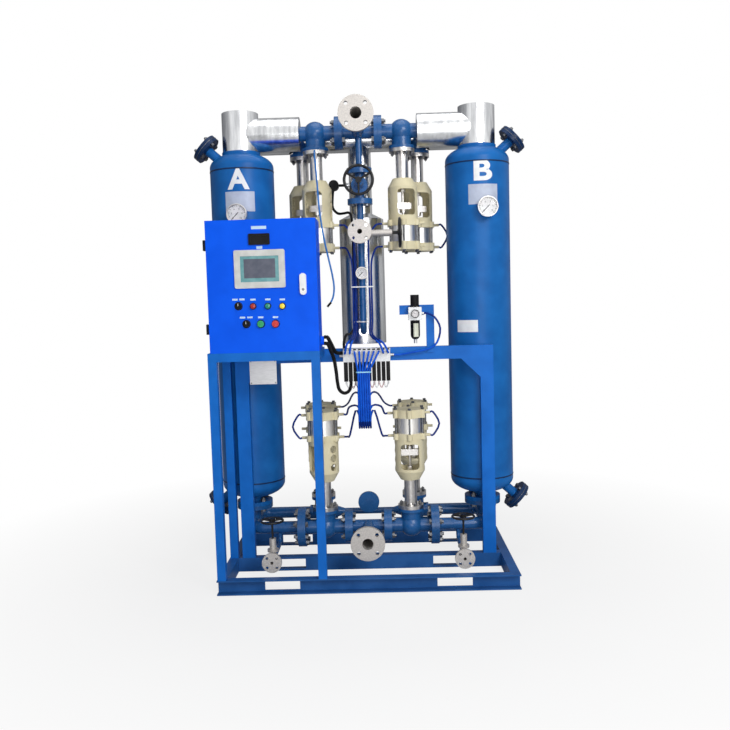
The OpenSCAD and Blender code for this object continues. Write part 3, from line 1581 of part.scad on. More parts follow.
// A hose from station i to a lower front actuator's inner fitting at height z
function lower_route(i, lane, side, z, arch) = let (x = lane * bundle_pitch, end = valve_x - stub_reach) concat(
  bundle_route(i, x),
  [[x + side * 20, bundle_back, 812 + arch], [side * 80, inlet_y - 60, z + 20 + arch],
   [side * (end - lead), inlet_y, z], [side * end, inlet_y, z]]
);
// A hose from station i over to a lower rear actuator's inner fitting
function rear_route(i, lane, side) = let (x = lane * bundle_pitch, end = exhaust_x - stub_reach) concat(
  bundle_route(i, x),
  [[x + side * 6, bundle_back + 14, 850], [side * 36, 10, 890], [side * 66, 130, 870],
   [side * 96, 240, 810], [side * (end - lead), purge_out_y, lower_high_z], [side * end, purge_out_y, lower_high_z]]
);
// A hose from station i up the purge pipe to an upper front actuator's inner fitting
function upper_route(i, lane, side, z) = let (x = lane * bundle_pitch + side * 26, end = valve_x - stub_reach) [
  [fitting_x(i), hose_start_y, hose_start_z],
  [fitting_x(i), hose_start_y - lead, hose_start_z],
  [x + (fitting_x(i) - x) * 0.7, hose_start_y - lead, 1150],
  [x, -60, 1186],
  [x, 60, 1250],
  [x, 112, 1340],
  [x, 112, z - 130],
  [x + side * 6, 110, z - 60],
  [side * 76, 122, z - 8],
  [side * (end - lead), tower_y, z],
  [side * end, tower_y, z]
];
// A short loop on an actuator's outer side
function loop_route(i, reach) = let (s = valve_sites[i], x = s[1] + stub_reach, up = s[4]) [
  [s[0] * x, s[2], s[3] + up * high_port],
  [s[0] * (x + 16), s[2], s[3] + up * high_port],
  [s[0] * (x + reach), s[2] - 6, s[3] + up * (low_port + high_port) / 2],
  [s[0] * (x + 16), s[2], s[3] + up * low_port],
  [s[0] * x, s[2], s[3] + up * low_port]
];
// The supply hose from the regulator to the manifold's end
supply_route = [
  [frl_x + frl_w / 2 + frl_stub, bracket_face - frl_d / 2, frl_z + frl_h / 2],
  [frl_x + frl_w / 2 + frl_stub + lead, bracket_face - frl_d / 2, frl_z + frl_h / 2],
  [354, -98, 1266], [380, -98, 1212], [364, -96, 1144], [322, -94, 1112], [250, -92, 1098], [190, -90, 1088],
  [rail_x + rail_w / 2 + fitting_len + lead, mid_y - rail_d / 2, rail_top - 2 * fitting_drop],
  [rail_x + rail_w / 2 + fitting_len, mid_y - rail_d / 2, rail_top - 2 * fitting_drop]
];

lower_low_z = inlet_z + low_port;
lower_high_z = inlet_z + high_port;
upper_low_z = outlet_z - low_port;
upper_high_z = outlet_z - high_port;

module pilot_hoses() {
  color(bright_blue) {
    for (side = sides) {
      mid = (stations - 1) / 2;
      swept_tube(lower_route(mid + side * 2.5, side * 2.5, side, lower_low_z, 0), hose_d);
      swept_tube(lower_route(mid + side * 1.5, side * 1.5, side, lower_high_z, 24), hose_d);
      swept_tube(rear_route(mid + side * 0.5, side * 0.5, side), hose_d);
      swept_tube(upper_route(mid + side * 3.5, side, side, upper_low_z), hose_d);
      swept_tube(upper_route(mid + side * 4.5, side * 2, side, upper_high_z), hose_d);
    }
    for (i = [inlet_a, inlet_b, regen_a, regen_b]) swept_tube(loop_route(i, 46), hose_d);
    swept_tube(supply_route, hose_d);
  }
}

loom_lanes = 1;
loom_pitch = 15;
sensor_d = 54;
sensor_len = 50;
sensor_stem = 34;
sensor_x = -heater_neck_d / 2 - sensor_boss;
loom_exit_x = cab_x + cab_w + gland_len;
// A strand of the loom from the cabinet to the manifold's left end
function loom_route(lane) = let (dz = lane * loom_pitch, z = rail_top - 2 * fitting_drop + dz) [
  [loom_exit_x, gland_y, gland_z + dz],
  [loom_exit_x + lead, gland_y, gland_z + dz],
  [-150, -240, 1146 + dz],
  [-138, -170, z + 20],
  [-132, -110, z + 4],
  [rail_left - lead, mid_y - rail_d / 2, z],
  [rail_left, mid_y - rail_d / 2, z]
];
// The conduit that hangs below the loom and turns up into the second coil
conduit_route = [
  [loom_exit_x, gland_y, gland_z - loom_pitch],
  [loom_exit_x + lead, gland_y, gland_z - loom_pitch],
  [-152, -240, 1128], [-140, -190, 1080], [-134, -150, 1020], [-130, -126, 960], [-122, -114, 922],
  [-98, -104, 904], [-74, -96, 916], [fitting_x(1), mid_y - rail_d / 2, rail_low_z - coil_h - lead],
  [fitting_x(1), mid_y - rail_d / 2, rail_low_z - coil_h]
];
sensor_route = [[-146, rear_y, sensor_z - 28], [-150, rear_y - 10, 1900], [-148, 280, 1850], [-120, 250, 1818],
                [-86, 210, 1814], [-58, 180, 1812], [-46, 166, 1780], [-44, 164, 1700], [-42, 164, 1560], [-42, 164, 1400],
                [-44, 160, 1240], [-64, 110, 1190], [-86, 20, 1186],
                [-96, mid_y + post_d / 2, beam_top + 2 * lead],
                [-96, mid_y + post_d / 2, beam_top]];

module control_cables() {
  color(black) {
    for (lane = [1 : loom_lanes]) swept_tube(loom_route(lane), cable_d);
    swept_tube(conduit_route, cable_d);
    swept_tube(sensor_route, cable_d);
    translate([sensor_x - sensor_stem, rear_y, sensor_z]) to_x() cylinder(d = cable_d, h = sensor_stem);
    translate([sensor_x - sensor_stem - sensor_d / 2, rear_y + sensor_len / 2, sensor_z]) to_neg_y()
      cylinder(d = sensor_d, h = sensor_len);
  }
}

hanging_d = 9;
hang_top = outlet_z - bonnet_rise - bonnet_flange_t / 2;
hang_y = tower_y - bonnet_flange_d / 2 - fit;
hanging_route = [
  [-valve_x, hang_y, hang_top], [-valve_x, hang_y - lead, hang_top], [-219, 40, 2098], [-217, 26, 2070],
  [-214, 20, 2030], [-211, 22, 1980], [-208, 26, 1920], [-205, 28, 1850], [-200, 30, 1790], [-190, 30, 1710],
  [-178, 30, 1640], [-162, 30, 1560], [-148, 30, 1490], [-141, 30, 1430], [-146, 30, 1384], [-160, 28, 1352],
  [-178, 26, 1330]
];

module hanging_hose() {
  color("#2f86d6") swept_tube(hanging_route, hanging_d);
}

// Fasteners

bolt_d = 16;
small_bolt_d = 12;
head_ratio = 1.5;
nut_ratio = 0.8;
tail_ratio = 0.5;

// A bolt through flanges that lie from 0 to grip, with its head below and its nut above
module bolt(d, grip) {
  translate([0, 0, -nut_ratio * d]) cylinder(d = head_ratio * d * 2 / sqrt(3), h = nut_ratio * d, $fn = 6);
  translate([0, 0, -nut_ratio * d]) cylinder(d = d, h = grip + (2 * nut_ratio + tail_ratio) * d);
  translate([0, 0, grip]) cylinder(d = head_ratio * d * 2 / sqrt(3), h = nut_ratio * d, $fn = 6);
}

module bolt_ring(pcd, count, d, grip) {
  on_circle(pcd, count) bolt(d, grip);
}

module flange_bolts() {
  color("#8d9196") {
    for (s = sides) facing(s) {
      for (at = [[inlet_y, inlet_z], [tower_y, outlet_z]])
        translate([joint_x - flange_t, at[0], at[1]]) to_x() bolt_ring(port_pcd, cross_hole, bolt_d, 2 * flange_t);
      translate([outer_joint - flange_t, inlet_y, inlet_z]) to_x()
        bolt_ring(outer_pcd, outer_count, bolt_d, 2 * flange_t);
      translate([tower_x, tower_y, nozzle_top - 2 * flange_t])
        bolt_ring(nozzle_pcd, nozzle_bolts, bolt_d, 2 * flange_t);
      translate([tower_x, tower_y, 0]) on_ports() translate([0, 0, port_reach - port_flange_t])
        bolt_ring(port_pcd_small, nozzle_bolts, small_bolt_d, 2 * port_flange_t);
    }
    for (z = [purge_z + purge_half, purge_z - purge_half])
      translate([0, tower_y, z - small_flange_t]) bolt_ring(purge_pcd, cross_hole, small_bolt_d, 2 * small_flange_t);
    for (i = valve_list) at_valve(i) translate([0, 0, yoke_top]) on_circle(rod_circle, rod_count) {
      cylinder(d = rod_d, h = cap_top - yoke_top + rod_head);
      translate([0, 0, cap_top - yoke_top]) cylinder(d = rod_head_d, h = rod_head, $fn = 6);
    }
  }
}

base_skid();
support_portal();
cabinet_stand();
tower_a_vessel();
tower_b_vessel();
desiccant_beds();
bed_screens();
service_port_covers();
riser_cladding();
regen_header_cladding();
top_pipes();
heater_shell();
heater_elements();
main_headers();
port_flanges();
lower_links();
exhaust_header();
valve_bodies();
valve_bonnets();
valve_yokes();
actuator_barrels();
actuator_caps();
inlet_stem_a();
inlet_stem_b();
exhaust_stem_a();
exhaust_stem_b();
outlet_stem_a();
outlet_stem_b();
regen_stem_a();
regen_stem_b();
purge_pipe();
purge_valve_body();
purge_handwheel();
test_valve_body();
test_handwheel();
drain_valve_bodies();
drain_handwheel_a();
drain_handwheel_b();
gauge_cases();
gauge_needle_a();
gauge_needle_b();
gauge_needle_line();
cabinet_box();
cabinet_door();
door_handle();
hmi_panel();
panel_meter();
pilot_lamps();
mode_selector();
power_selector();
start_button();
stop_button();
control_gear();
regulator_unit();
regulator_knob();
solenoid_manifold();
pilot_hoses();
control_cables();
hanging_hose();
flange_bolts();
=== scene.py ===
"""Looks of a twin-tower desiccant air dryer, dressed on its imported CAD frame. Metres, +Z up, front towards -Y."""

import json
import math

import bmesh
import bpy
from mathutils import Matrix, Vector


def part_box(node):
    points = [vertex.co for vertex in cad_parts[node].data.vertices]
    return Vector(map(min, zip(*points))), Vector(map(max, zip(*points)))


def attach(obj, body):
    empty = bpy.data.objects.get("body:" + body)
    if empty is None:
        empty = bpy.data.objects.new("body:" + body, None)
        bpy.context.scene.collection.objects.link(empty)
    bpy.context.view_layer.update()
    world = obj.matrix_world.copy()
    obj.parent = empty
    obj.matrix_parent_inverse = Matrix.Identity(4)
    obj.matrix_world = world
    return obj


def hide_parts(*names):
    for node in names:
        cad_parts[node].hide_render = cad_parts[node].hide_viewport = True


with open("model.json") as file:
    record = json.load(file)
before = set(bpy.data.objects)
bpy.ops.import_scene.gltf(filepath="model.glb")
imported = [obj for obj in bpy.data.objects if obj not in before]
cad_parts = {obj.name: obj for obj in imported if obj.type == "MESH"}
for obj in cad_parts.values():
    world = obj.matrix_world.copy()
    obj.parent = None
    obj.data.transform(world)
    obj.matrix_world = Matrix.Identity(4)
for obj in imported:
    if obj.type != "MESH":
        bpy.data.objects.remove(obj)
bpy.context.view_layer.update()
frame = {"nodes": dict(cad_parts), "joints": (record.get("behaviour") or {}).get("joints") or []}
NODES = frame["nodes"]
JOINTS = {joint["name"]: joint for joint in frame["joints"]}

# Camera, as fitted to the photograph
CAMERA_PLACE = (0.0852, -4.0338, 1.3651)
CAMERA_YAW = -1.145
CAMERA_PITCH = 4.716
CAMERA_ROLL = 1.639
LENS = 39.546
SENSOR = 36.0

# The loose hose's route, as in the part's source
HOSE_ROUTE = [
    (-0.220, 0.0787, 2.113), (-0.220, 0.0627, 2.113), (-0.219, 0.040, 2.098), (-0.217, 0.026, 2.070),
    (-0.214, 0.020, 2.030), (-0.211, 0.022, 1.980), (-0.208, 0.026, 1.920), (-0.205, 0.028, 1.850),
    (-0.200, 0.030, 1.790), (-0.190, 0.030, 1.710), (-0.178, 0.030, 1.640), (-0.162, 0.030, 1.560),
    (-0.148, 0.030, 1.490), (-0.141, 0.030, 1.430), (-0.146, 0.030, 1.384), (-0.160, 0.028, 1.352),
    (-0.178, 0.026, 1.330),
]
HOSE_D = 0.009
SLEEVE_SHARE = 0.62
SLEEVE_LEN = 0.03
CURVE_STEPS = 6

# Places shared with the part
TOWERS = {"a": (-0.602, 0.144), "b": (0.602, 0.144)}
TOWER_R = 0.162
SEAMS = (0.437, 2.028)
FRONT_TURN = Matrix.Rotation(math.radians(90), 4, "X")


def add_camera():
    """The camera at the photograph's angle."""
    yaw, pitch, roll = (math.radians(a) for a in (CAMERA_YAW, CAMERA_PITCH, CAMERA_ROLL))
    forward = Vector((math.sin(yaw) * math.cos(pitch), math.cos(yaw) * math.cos(pitch), -math.sin(pitch)))
    level = Vector((math.cos(yaw), -math.sin(yaw), 0))
    down = forward.cross(level)
    right = math.cos(roll) * level + math.sin(roll) * down
    down = -math.sin(roll) * level + math.cos(roll) * down
    data = bpy.data.cameras.new("camera")
    data.lens = LENS
    data.sensor_width = SENSOR
    data.dof.use_dof = False
    camera = bpy.data.objects.new("camera", data)
    turn = Matrix((right, -down, -forward)).transposed().to_4x4()
    camera.matrix_world = Matrix.Translation(CAMERA_PLACE) @ turn
    bpy.context.scene.collection.objects.link(camera)
    bpy.context.scene.camera = camera


# Materials


class Finish:
    """A procedural material: two shades, roughness and bump that vary over the surface."""

    def __init__(self, name):
        self.material = bpy.data.materials.new(name)
        self.material.use_nodes = True
        self.nodes = self.material.node_tree.nodes
        self.links = self.material.node_tree.links
        self.shader = self.nodes["Principled BSDF"]
        self.place = self.nodes.new("ShaderNodeTexCoord").outputs["Object"]

    def noise(self, scale, stretch=(1, 1, 1), detail=4):
        """A noise over the object's own coordinates."""
        mapping = self.nodes.new("ShaderNodeMapping")
        mapping.inputs["Scale"].default_value = stretch
        self.links.new(self.place, mapping.inputs["Vector"])
        noise = self.nodes.new("ShaderNodeTexNoise")
        noise.inputs["Scale"].default_value = scale
        noise.inputs["Detail"].default_value = detail
        self.links.new(mapping.outputs["Vector"], noise.inputs["Vector"])
        return noise.outputs["Fac"]

    def shades(self, dark, light, fac, low=0.35, high=0.65):
        ramp = self.nodes.new("ShaderNodeValToRGB")
        ramp.color_ramp.elements[0].position = low
        ramp.color_ramp.elements[1].position = high
        ramp.color_ramp.elements[0].color = (*dark, 1)
        ramp.color_ramp.elements[1].color = (*light, 1)
        self.links.new(fac, ramp.inputs["Fac"])
        self.links.new(ramp.outputs["Color"], self.shader.inputs["Base Color"])

    def roughness(self, low, high, fac):
        spread = self.nodes.new("ShaderNodeMapRange")
        spread.inputs["To Min"].default_value = low
        spread.inputs["To Max"].default_value = high
        self.links.new(fac, spread.inputs["Value"])
        self.links.new(spread.outputs["Result"], self.shader.inputs["Roughness"])

    def relief(self, fac, strength, distance=0.001, edge=0.0):
        """Bump from fac on top of softened edges."""
        bump = self.nodes.new("ShaderNodeBump")
        bump.inputs["Strength"].default_value = strength
        bump.inputs["Distance"].default_value = distance
        self.links.new(fac, bump.inputs["Height"])
        if edge > 0:
            bevel = self.nodes.new("ShaderNodeBevel")
            bevel.samples = 4
            bevel.inputs["Radius"].default_value = edge
            self.links.new(bevel.outputs["Normal"], bump.inputs["Normal"])
        self.links.new(bump.outputs["Normal"], self.shader.inputs["Normal"])

    def set(self, **values):
        for key, value in values.items():
            self.shader.inputs[key.replace("_", " ")].default_value = value
        return self.material


def paint(name, dark, light, rough=(0.30, 0.40), gloss=0.2, grain=220, bump=0.12, edge=0.0015):
    """Enamel or powder coat with a fine orange-peel grain."""
    finish = Finish(name)
    finish.shades(dark, light, finish.noise(9, detail=3))
    finish.roughness(*rough, finish.noise(30))
    finish.relief(finish.noise(grain, detail=2), bump, 0.0006, edge)
    return finish.set(Specular_IOR_Level=gloss)


def metal(name, dark, light, rough=(0.2, 0.3), stretch=(1, 1, 1), scale=60, bump=0.05, edge=0.0):
    """Bare metal, brushed along the axis with the smallest stretch."""
    finish = Finish(name)
    fac = finish.noise(scale, stretch)
    finish.shades(dark, light, fac)
    finish.roughness(*rough, fac)
    finish.relief(finish.noise(scale / 4, stretch, 2), bump, 0.0004, edge)
    return finish.set(Metallic=1.0)


def plastic(name, dark, light, rough=(0.35, 0.5), grain=400, bump=0.08, edge=0.0, gloss=0.5):
    """Moulded plastic or rubber."""
    finish = Finish(name)
    finish.shades(dark, light, finish.noise(25))
    finish.roughness(*rough, finish.noise(60))
    finish.relief(finish.noise(grain, detail=2), bump, 0.0004, edge)
    return finish.set(Specular_IOR_Level=gloss)


def glowing(name, dark, light, strength):
    """A lens or screen that shines a little."""
    finish = Finish(name)
    finish.shades(dark, light, finish.noise(40))
    finish.roughness(0.12, 0.2, finish.noise(80))
    return finish.set(Emission_Color=(*light, 1), Emission_Strength=strength)


def clear(name):
    """A clear gauge window."""
    finish = Finish(name)
    finish.roughness(0.02, 0.06, finish.noise(50))
    finish.shades((0.95, 0.97, 0.97), (1, 1, 1), finish.noise(20))
    return finish.set(Transmission_Weight=1.0, IOR=1.15)


BLUE = paint("blue_enamel", (0.007, 0.112, 0.380), (0.010, 0.145, 0.470), gloss=0.16)
FRAME_BLUE = paint("frame_enamel", (0.006, 0.125, 0.500), (0.009, 0.155, 0.600), gloss=0.12, bump=0.06)
SKID_BLUE = paint("skid_enamel", (0.014, 0.085, 0.280), (0.024, 0.115, 0.350), gloss=0.16, bump=0.06)
PIPE_BLUE = paint("pipe_enamel", (0.012, 0.088, 0.265), (0.018, 0.118, 0.345), (0.22, 0.32), 0.4, 140, 0.2)
CABINET = paint("cabinet_coat", (0.002, 0.098, 0.840), (0.003, 0.112, 0.910), (0.40, 0.50), 0.08, 500, 0.05)
CREAM = paint("cream_enamel", (0.700, 0.630, 0.410), (0.800, 0.730, 0.500), (0.40, 0.55), 0.2, 120, 0.2)
SHEET = metal("clad_sheet", (0.62, 0.63, 0.65), (0.88, 0.89, 0.90), (0.18, 0.28), (3, 3, 0.4), 18, 0.08)
HEADER_SHEET = metal("header_sheet", (0.62, 0.63, 0.65), (0.88, 0.89, 0.90), (0.18, 0.28), (0.4, 3, 3), 18, 0.08)
STAINLESS = metal("stainless", (0.58, 0.56, 0.54), (0.70, 0.68, 0.66), (0.28, 0.36), (1, 1, 1), 90, 0.012, 0.0008)
BRIGHT = metal("bright_barrel", (0.82, 0.80, 0.76), (0.97, 0.95, 0.91), (0.30, 0.42), (4, 4, 0.5), 40, 0.04)
CAST_STEEL = metal("cast_stainless", (0.46, 0.44, 0.42), (0.60, 0.57, 0.54), (0.55, 0.70), scale=150, bump=0.25,
                   edge=0.001)
# Dull zinc, made darker as painted shade for the shadowed undersides of bolts and nuts; it also serves gaskets,
# rivets and the key.
ZINC_AND_SHADE = metal("zinc_and_painted_shade", (0.12, 0.125, 0.135), (0.24, 0.245, 0.26), (0.35, 0.47), (1, 1, 1), 200, 0.05)
BLACK = plastic("black_plastic", (0.006, 0.006, 0.007), (0.012, 0.012, 0.013), gloss=0.12)
BLACK_PAINT = paint("black_enamel", (0.008, 0.008, 0.009), (0.015, 0.015, 0.017), (0.25, 0.35), 0.25, 200, 0.08)
WHITE = plastic("white_plastic", (0.78, 0.79, 0.80), (0.88, 0.89, 0.90), (0.25, 0.35))
# Dark navy as painted shade: on the service port covers and the ports' own flanges, seen from below in shadow, and
# on the weld seams for the shade in their grooves.
SHADE_NAVY = paint("painted_shade_navy", (0.004, 0.022, 0.075), (0.006, 0.030, 0.100))
DIAL = plastic("dial_face", (0.66, 0.64, 0.65), (0.74, 0.72, 0.73), (0.4, 0.5), 200, 0.02)
BOWL = plastic("clear_bowl", (0.60, 0.62, 0.50), (0.74, 0.76, 0.64), (0.15, 0.25))
TIE = plastic("pale_tie", (0.22, 0.56, 0.80), (0.32, 0.68, 0.90), (0.3, 0.4))
PINK = plastic("pink_wire", (0.62, 0.36, 0.36), (0.72, 0.46, 0.46))
CAPTION = plastic("pale_caption", (0.50, 0.68, 0.86), (0.60, 0.78, 0.94), (0.4, 0.5), 200, 0.02)
LABEL = plastic("white_label", (0.80, 0.81, 0.82), (0.90, 0.91, 0.92), (0.4, 0.5), 200, 0.02)
GREY = plastic("grey_plastic", (0.55, 0.56, 0.54), (0.66, 0.67, 0.65), edge=0.0008)
ALUMINIUM = metal("block_aluminium", (0.50, 0.51, 0.52), (0.62, 0.63, 0.64), (0.45, 0.60), scale=120, edge=0.0006)
PLATE = metal("bare_plate", (0.56, 0.56, 0.57), (0.66, 0.66, 0.67), (0.35, 0.45), (0.3, 3, 3), 120, 0.02)
TOWER_PLATE = plastic("tower_plate", (0.42, 0.47, 0.60), (0.50, 0.56, 0.70), (0.35, 0.45), 200, 0.02)
HOSE = plastic("blue_hose", (0.006, 0.085, 0.580), (0.010, 0.120, 0.700), (0.25, 0.35), 90, 0.04, gloss=0.12)
# Darker hose: at the bundle's foot it is painted shade of the hoses' U-turn; above the fan and on the arches beside
# the bundle the hoses are just a darker blue.
DARKER_HOSE = plastic("darker_hose", (0.004, 0.024, 0.200), (0.006, 0.036, 0.270), (0.25, 0.35), 90, 0.04, gloss=0.12)
PALE_HOSE = plastic("pale_hose", (0.030, 0.180, 0.560), (0.050, 0.240, 0.660), (0.25, 0.35), 90, 0.04, gloss=0.12)
CABLE = plastic("black_conduit", (0.006, 0.006, 0.007), (0.015, 0.015, 0.016), (0.4, 0.55), 300, 0.3, gloss=0.12)
RED = plastic("red_plastic", (0.56, 0.02, 0.02), (0.70, 0.04, 0.03), (0.2, 0.3))
GREEN = plastic("green_plastic", (0.01, 0.30, 0.10), (0.03, 0.42, 0.15), (0.2, 0.3))
RED_LENS = glowing("red_lens", (0.30, 0.01, 0.01), (0.48, 0.03, 0.02), 0.05)
GREEN_LENS = glowing("green_lens", (0.00, 0.18, 0.14), (0.02, 0.28, 0.20), 0.05)
YELLOW_LENS = glowing("yellow_lens", (0.80, 0.55, 0.02), (0.90, 0.72, 0.06), 0.15)
SCREEN = glowing("screen_glass", (0.075, 0.085, 0.120), (0.105, 0.115, 0.155), 0.10)
SCREEN_EDGE = glowing("screen_edge", (0.10, 0.28, 0.30), (0.16, 0.36, 0.38), 0.10)
BEADS = plastic("desiccant_beads", (0.55, 0.50, 0.42), (0.86, 0.83, 0.76), (0.6, 0.8), 160, 0.8)
ELEMENTS = metal("heater_element", (0.20, 0.18, 0.16), (0.34, 0.30, 0.27), (0.4, 0.55))
WINDOW = clear("gauge_window")

NODE_FINISH = {
    BLUE: ["tower_a_vessel", "tower_b_vessel"],
    FRAME_BLUE: ["support_portal", "cabinet_stand"],
    SKID_BLUE: ["base_skid"],
    # The service port covers carry painted shade: they are seen from below in shadow.
    SHADE_NAVY: ["service_port_covers"],
    PIPE_BLUE: ["top_pipes", "main_headers", "lower_links", "exhaust_header", "valve_bodies",
                "purge_pipe", "purge_valve_body"],
    CABINET: ["cabinet_box", "cabinet_door"],
    CREAM: ["valve_yokes", "actuator_caps"],
    SHEET: ["riser_cladding", "heater_shell"],
    HEADER_SHEET: ["regen_header_cladding"],
    STAINLESS: ["valve_bonnets", "bed_screens", "gauge_cases", "inlet_stem_a", "inlet_stem_b", "exhaust_stem_a",
                "exhaust_stem_b", "outlet_stem_a", "outlet_stem_b", "regen_stem_a", "regen_stem_b"],
    BRIGHT: ["actuator_barrels"],
    CAST_STEEL: ["port_flanges", "test_valve_body", "drain_valve_bodies"],
    ZINC_AND_SHADE: ["flange_bolts"],
    BLACK_PAINT: ["purge_handwheel", "test_handwheel", "drain_handwheel_a", "drain_handwheel_b", "gauge_needle_a",
                  "gauge_needle_b", "gauge_needle_line"],
    BLACK: ["panel_meter", "mode_selector", "power_selector", "regulator_knob", "pilot_lamps"],
    GREY: ["hmi_panel", "control_gear"],
    WHITE: ["door_handle"],
    GREEN: ["start_button"],
    RED: ["stop_button"],
    ALUMINIUM: ["regulator_unit", "solenoid_manifold"],
    HOSE: ["pilot_hoses"],
    PALE_HOSE: ["hanging_hose"],
    CABLE: ["control_cables"],
    BEADS: ["desiccant_beds"],
    ELEMENTS: ["heater_elements"],
}


def dress_nodes():
    """Gives every CAD node its finish."""
    for finish, names in NODE_FINISH.items():
        for name in names:
            NODES[name].data.materials.clear()
            NODES[name].data.materials.append(finish)


def dress_faces(node, finish, wanted):
    """Gives the faces of a CAD node whose middle passes the test another finish."""
    mesh = NODES[node].data
    mesh.materials.append(finish)
    for face in mesh.polygons:
        if wanted(face.center):
            face.material_index = len(mesh.materials) - 1


# Added pieces


DOME = [(1, 0), (1, 0.25), (0.95, 0.5), (0.84, 0.7), (0.66, 0.86), (0.42, 0.95), (0.12, 1)]
SHARP = math.radians(35)


class Piece:
    """A mesh put together from simple shapes, one finish, riding on one body."""

    def __init__(self):
        self.bm = bmesh.new()

    def box(self, low, high):
        size = Vector(high) - Vector(low)
        place = Matrix.Translation((Vector(low) + Vector(high)) / 2) @ Matrix.Diagonal((*size, 1))
        bmesh.ops.create_cube(self.bm, size=1, matrix=place)
        return self

    def rod(self, base, axis, radius, height, segments=32, tip=None):
        """A cylinder, or with tip as its far radius a cone, from base along axis."""
        axis = Vector(axis).normalized()
        turn = axis.to_track_quat("Z", "Y").to_matrix().to_4x4()
        place = Matrix.Translation(Vector(base) + axis * height / 2) @ turn
        bmesh.ops.create_cone(self.bm, cap_ends=True, segments=segments, radius1=radius,
                              radius2=radius if tip is None else tip, depth=height, matrix=place)
        return self

    def turned(self, base, axis, profile, segments=40):
        """A body of revolution: profile lists (radius, height) from base along axis, closed at both ends."""
        turn = Vector(axis).normalized().to_track_quat("Z", "Y").to_matrix().to_4x4()
        place = Matrix.Translation(Vector(base)) @ turn
        loops = [[self.bm.verts.new(place @ Vector((r * math.cos(a), r * math.sin(a), h)))
                  for a in (2 * math.pi * k / segments for k in range(segments))] for r, h in profile]
        for here, there in zip(loops, loops[1:]):
            for k in range(segments):
                m = (k + 1) % segments
                self.bm.faces.new((here[k], here[m], there[m], there[k]))
        self.bm.faces.new(loops[0][::-1])
        self.bm.faces.new(loops[-1])
        return self

    def dome(self, base, axis, radius, height, segments=32):
        """A low round-topped cap."""
        return self.turned(base, axis, [(radius * w, height * h) for w, h in DOME], segments)

    def ring(self, centre, axis, radius, thick, segments=48, sides=10, flat=1.0):
        """A torus whose section is flattened along its axis by flat."""
        turn = Vector(axis).normalized().to_track_quat("Z", "Y").to_matrix().to_4x4()
        place = Matrix.Translation(Vector(centre)) @ turn
        loops = []
        for i in range(segments):
            a = 2 * math.pi * i / segments
            loop = []
            for k in range(sides):
                b = 2 * math.pi * k / sides
                r = radius + thick * math.cos(b)
                loop.append(self.bm.verts.new(place @ Vector((r * math.cos(a), r * math.sin(a),
                                                              thick * flat * math.sin(b)))))
            loops.append(loop)
        for i in range(segments):
            here, there = loops[i], loops[(i + 1) % segments]
            for k in range(sides):
                m = (k + 1) % sides
                self.bm.faces.new((here[k], there[k], there[m], here[m]))
        return self

    def tube(self, points, radius, sides=8):
        """A thin round wire along points, closed at both ends."""
        points = [Vector(p) for p in points]
        loops = []
        for i, here in enumerate(points):
            along = (points[min(i + 1, len(points) - 1)] - points[max(i - 1, 0)]).normalized()
            turn = along.to_track_quat("Z", "Y").to_matrix()
            loops.append([self.bm.verts.new(here + turn @ Vector((math.cos(a) * radius, math.sin(a) * radius, 0)))
                          for a in (2 * math.pi * k / sides for k in range(sides))])
        for here, there in zip(loops, loops[1:]):
            for k in range(sides):
                m = (k + 1) % sides
                self.bm.faces.new((here[k], here[m], there[m], there[k]))
        self.bm.faces.new(loops[0][::-1])
        self.bm.faces.new(loops[-1])
        return self

    def mesh(self, data):
        self.bm.from_mesh(data)
        bpy.data.meshes.remove(data)
        return self

    def done(self, name, finish, body, smooth=True):
        bmesh.ops.recalc_face_normals(self.bm, faces=self.bm.faces)
        data = bpy.data.meshes.new(name)
        self.bm.to_mesh(data)
        self.bm.free()
        data.materials.append(finish)
        if smooth:
            data.polygons.foreach_set("use_smooth", [True] * len(data.polygons))
            data.set_sharp_from_angle(angle=SHARP)
        obj = bpy.data.objects.new(name, data)
        bpy.context.scene.collection.objects.link(obj)
        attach(obj, body)
        return obj


def words_mesh(words, size, weight=0.0):
    """Letters or digits as a flat mesh in the XY plane, centred on the origin."""
    curve = bpy.data.curves.new("words", "FONT")
    curve.body = words
    curve.size = size
    curve.offset = weight
    curve.align_x = "CENTER"
    curve.align_y = "CENTER"
    holder = bpy.data.objects.new("words", curve)
    bpy.context.scene.collection.objects.link(holder)
    evaluated = holder.evaluated_get(bpy.context.evaluated_depsgraph_get())
    data = bpy.data.meshes.new_from_object(evaluated)
    bpy.data.objects.remove(holder)
    low = min(v.co.y for v in data.vertices)
    high = max(v.co.y for v in data.vertices)
    data.transform(Matrix.Translation((0, -(low + high) / 2, 0)))
    return data


def wrap_round(data, centre, radius, turn, z, lift):
    """Bends a flat mesh round an upright cylinder's front; turn is the angle from straight ahead."""
    x, y = centre
    fine = bmesh.new()
    fine.from_mesh(data)
    bmesh.ops.triangulate(fine, faces=fine.faces)
    bmesh.ops.subdivide_edges(fine, edges=fine.edges, cuts=4, use_grid_fill=True)
    fine.to_mesh(data)
    fine.free()
    for v in data.vertices:
        a = math.radians(turn) + v.co.x / radius
        r = radius + lift + v.co.z
        v.co = (x + r * math.sin(a), y - r * math.cos(a), z + v.co.y)
    return data


def flat_plate(w, h, t):
    """A plate in the XY plane, cut so that it bends well."""
    columns = 12
    shape = bmesh.new()
    for i in range(columns):
        low = -w / 2 + w * i / columns
        place = Matrix.Translation((low + w / columns / 2, 0, t / 2)) @ Matrix.Diagonal((w / columns, h, t, 1))
        bmesh.ops.create_cube(shape, size=1, matrix=place)
    bmesh.ops.remove_doubles(shape, verts=shape.verts, dist=1e-6)
    data = bpy.data.meshes.new("plate")
    shape.to_mesh(data)
    shape.free()
    return data


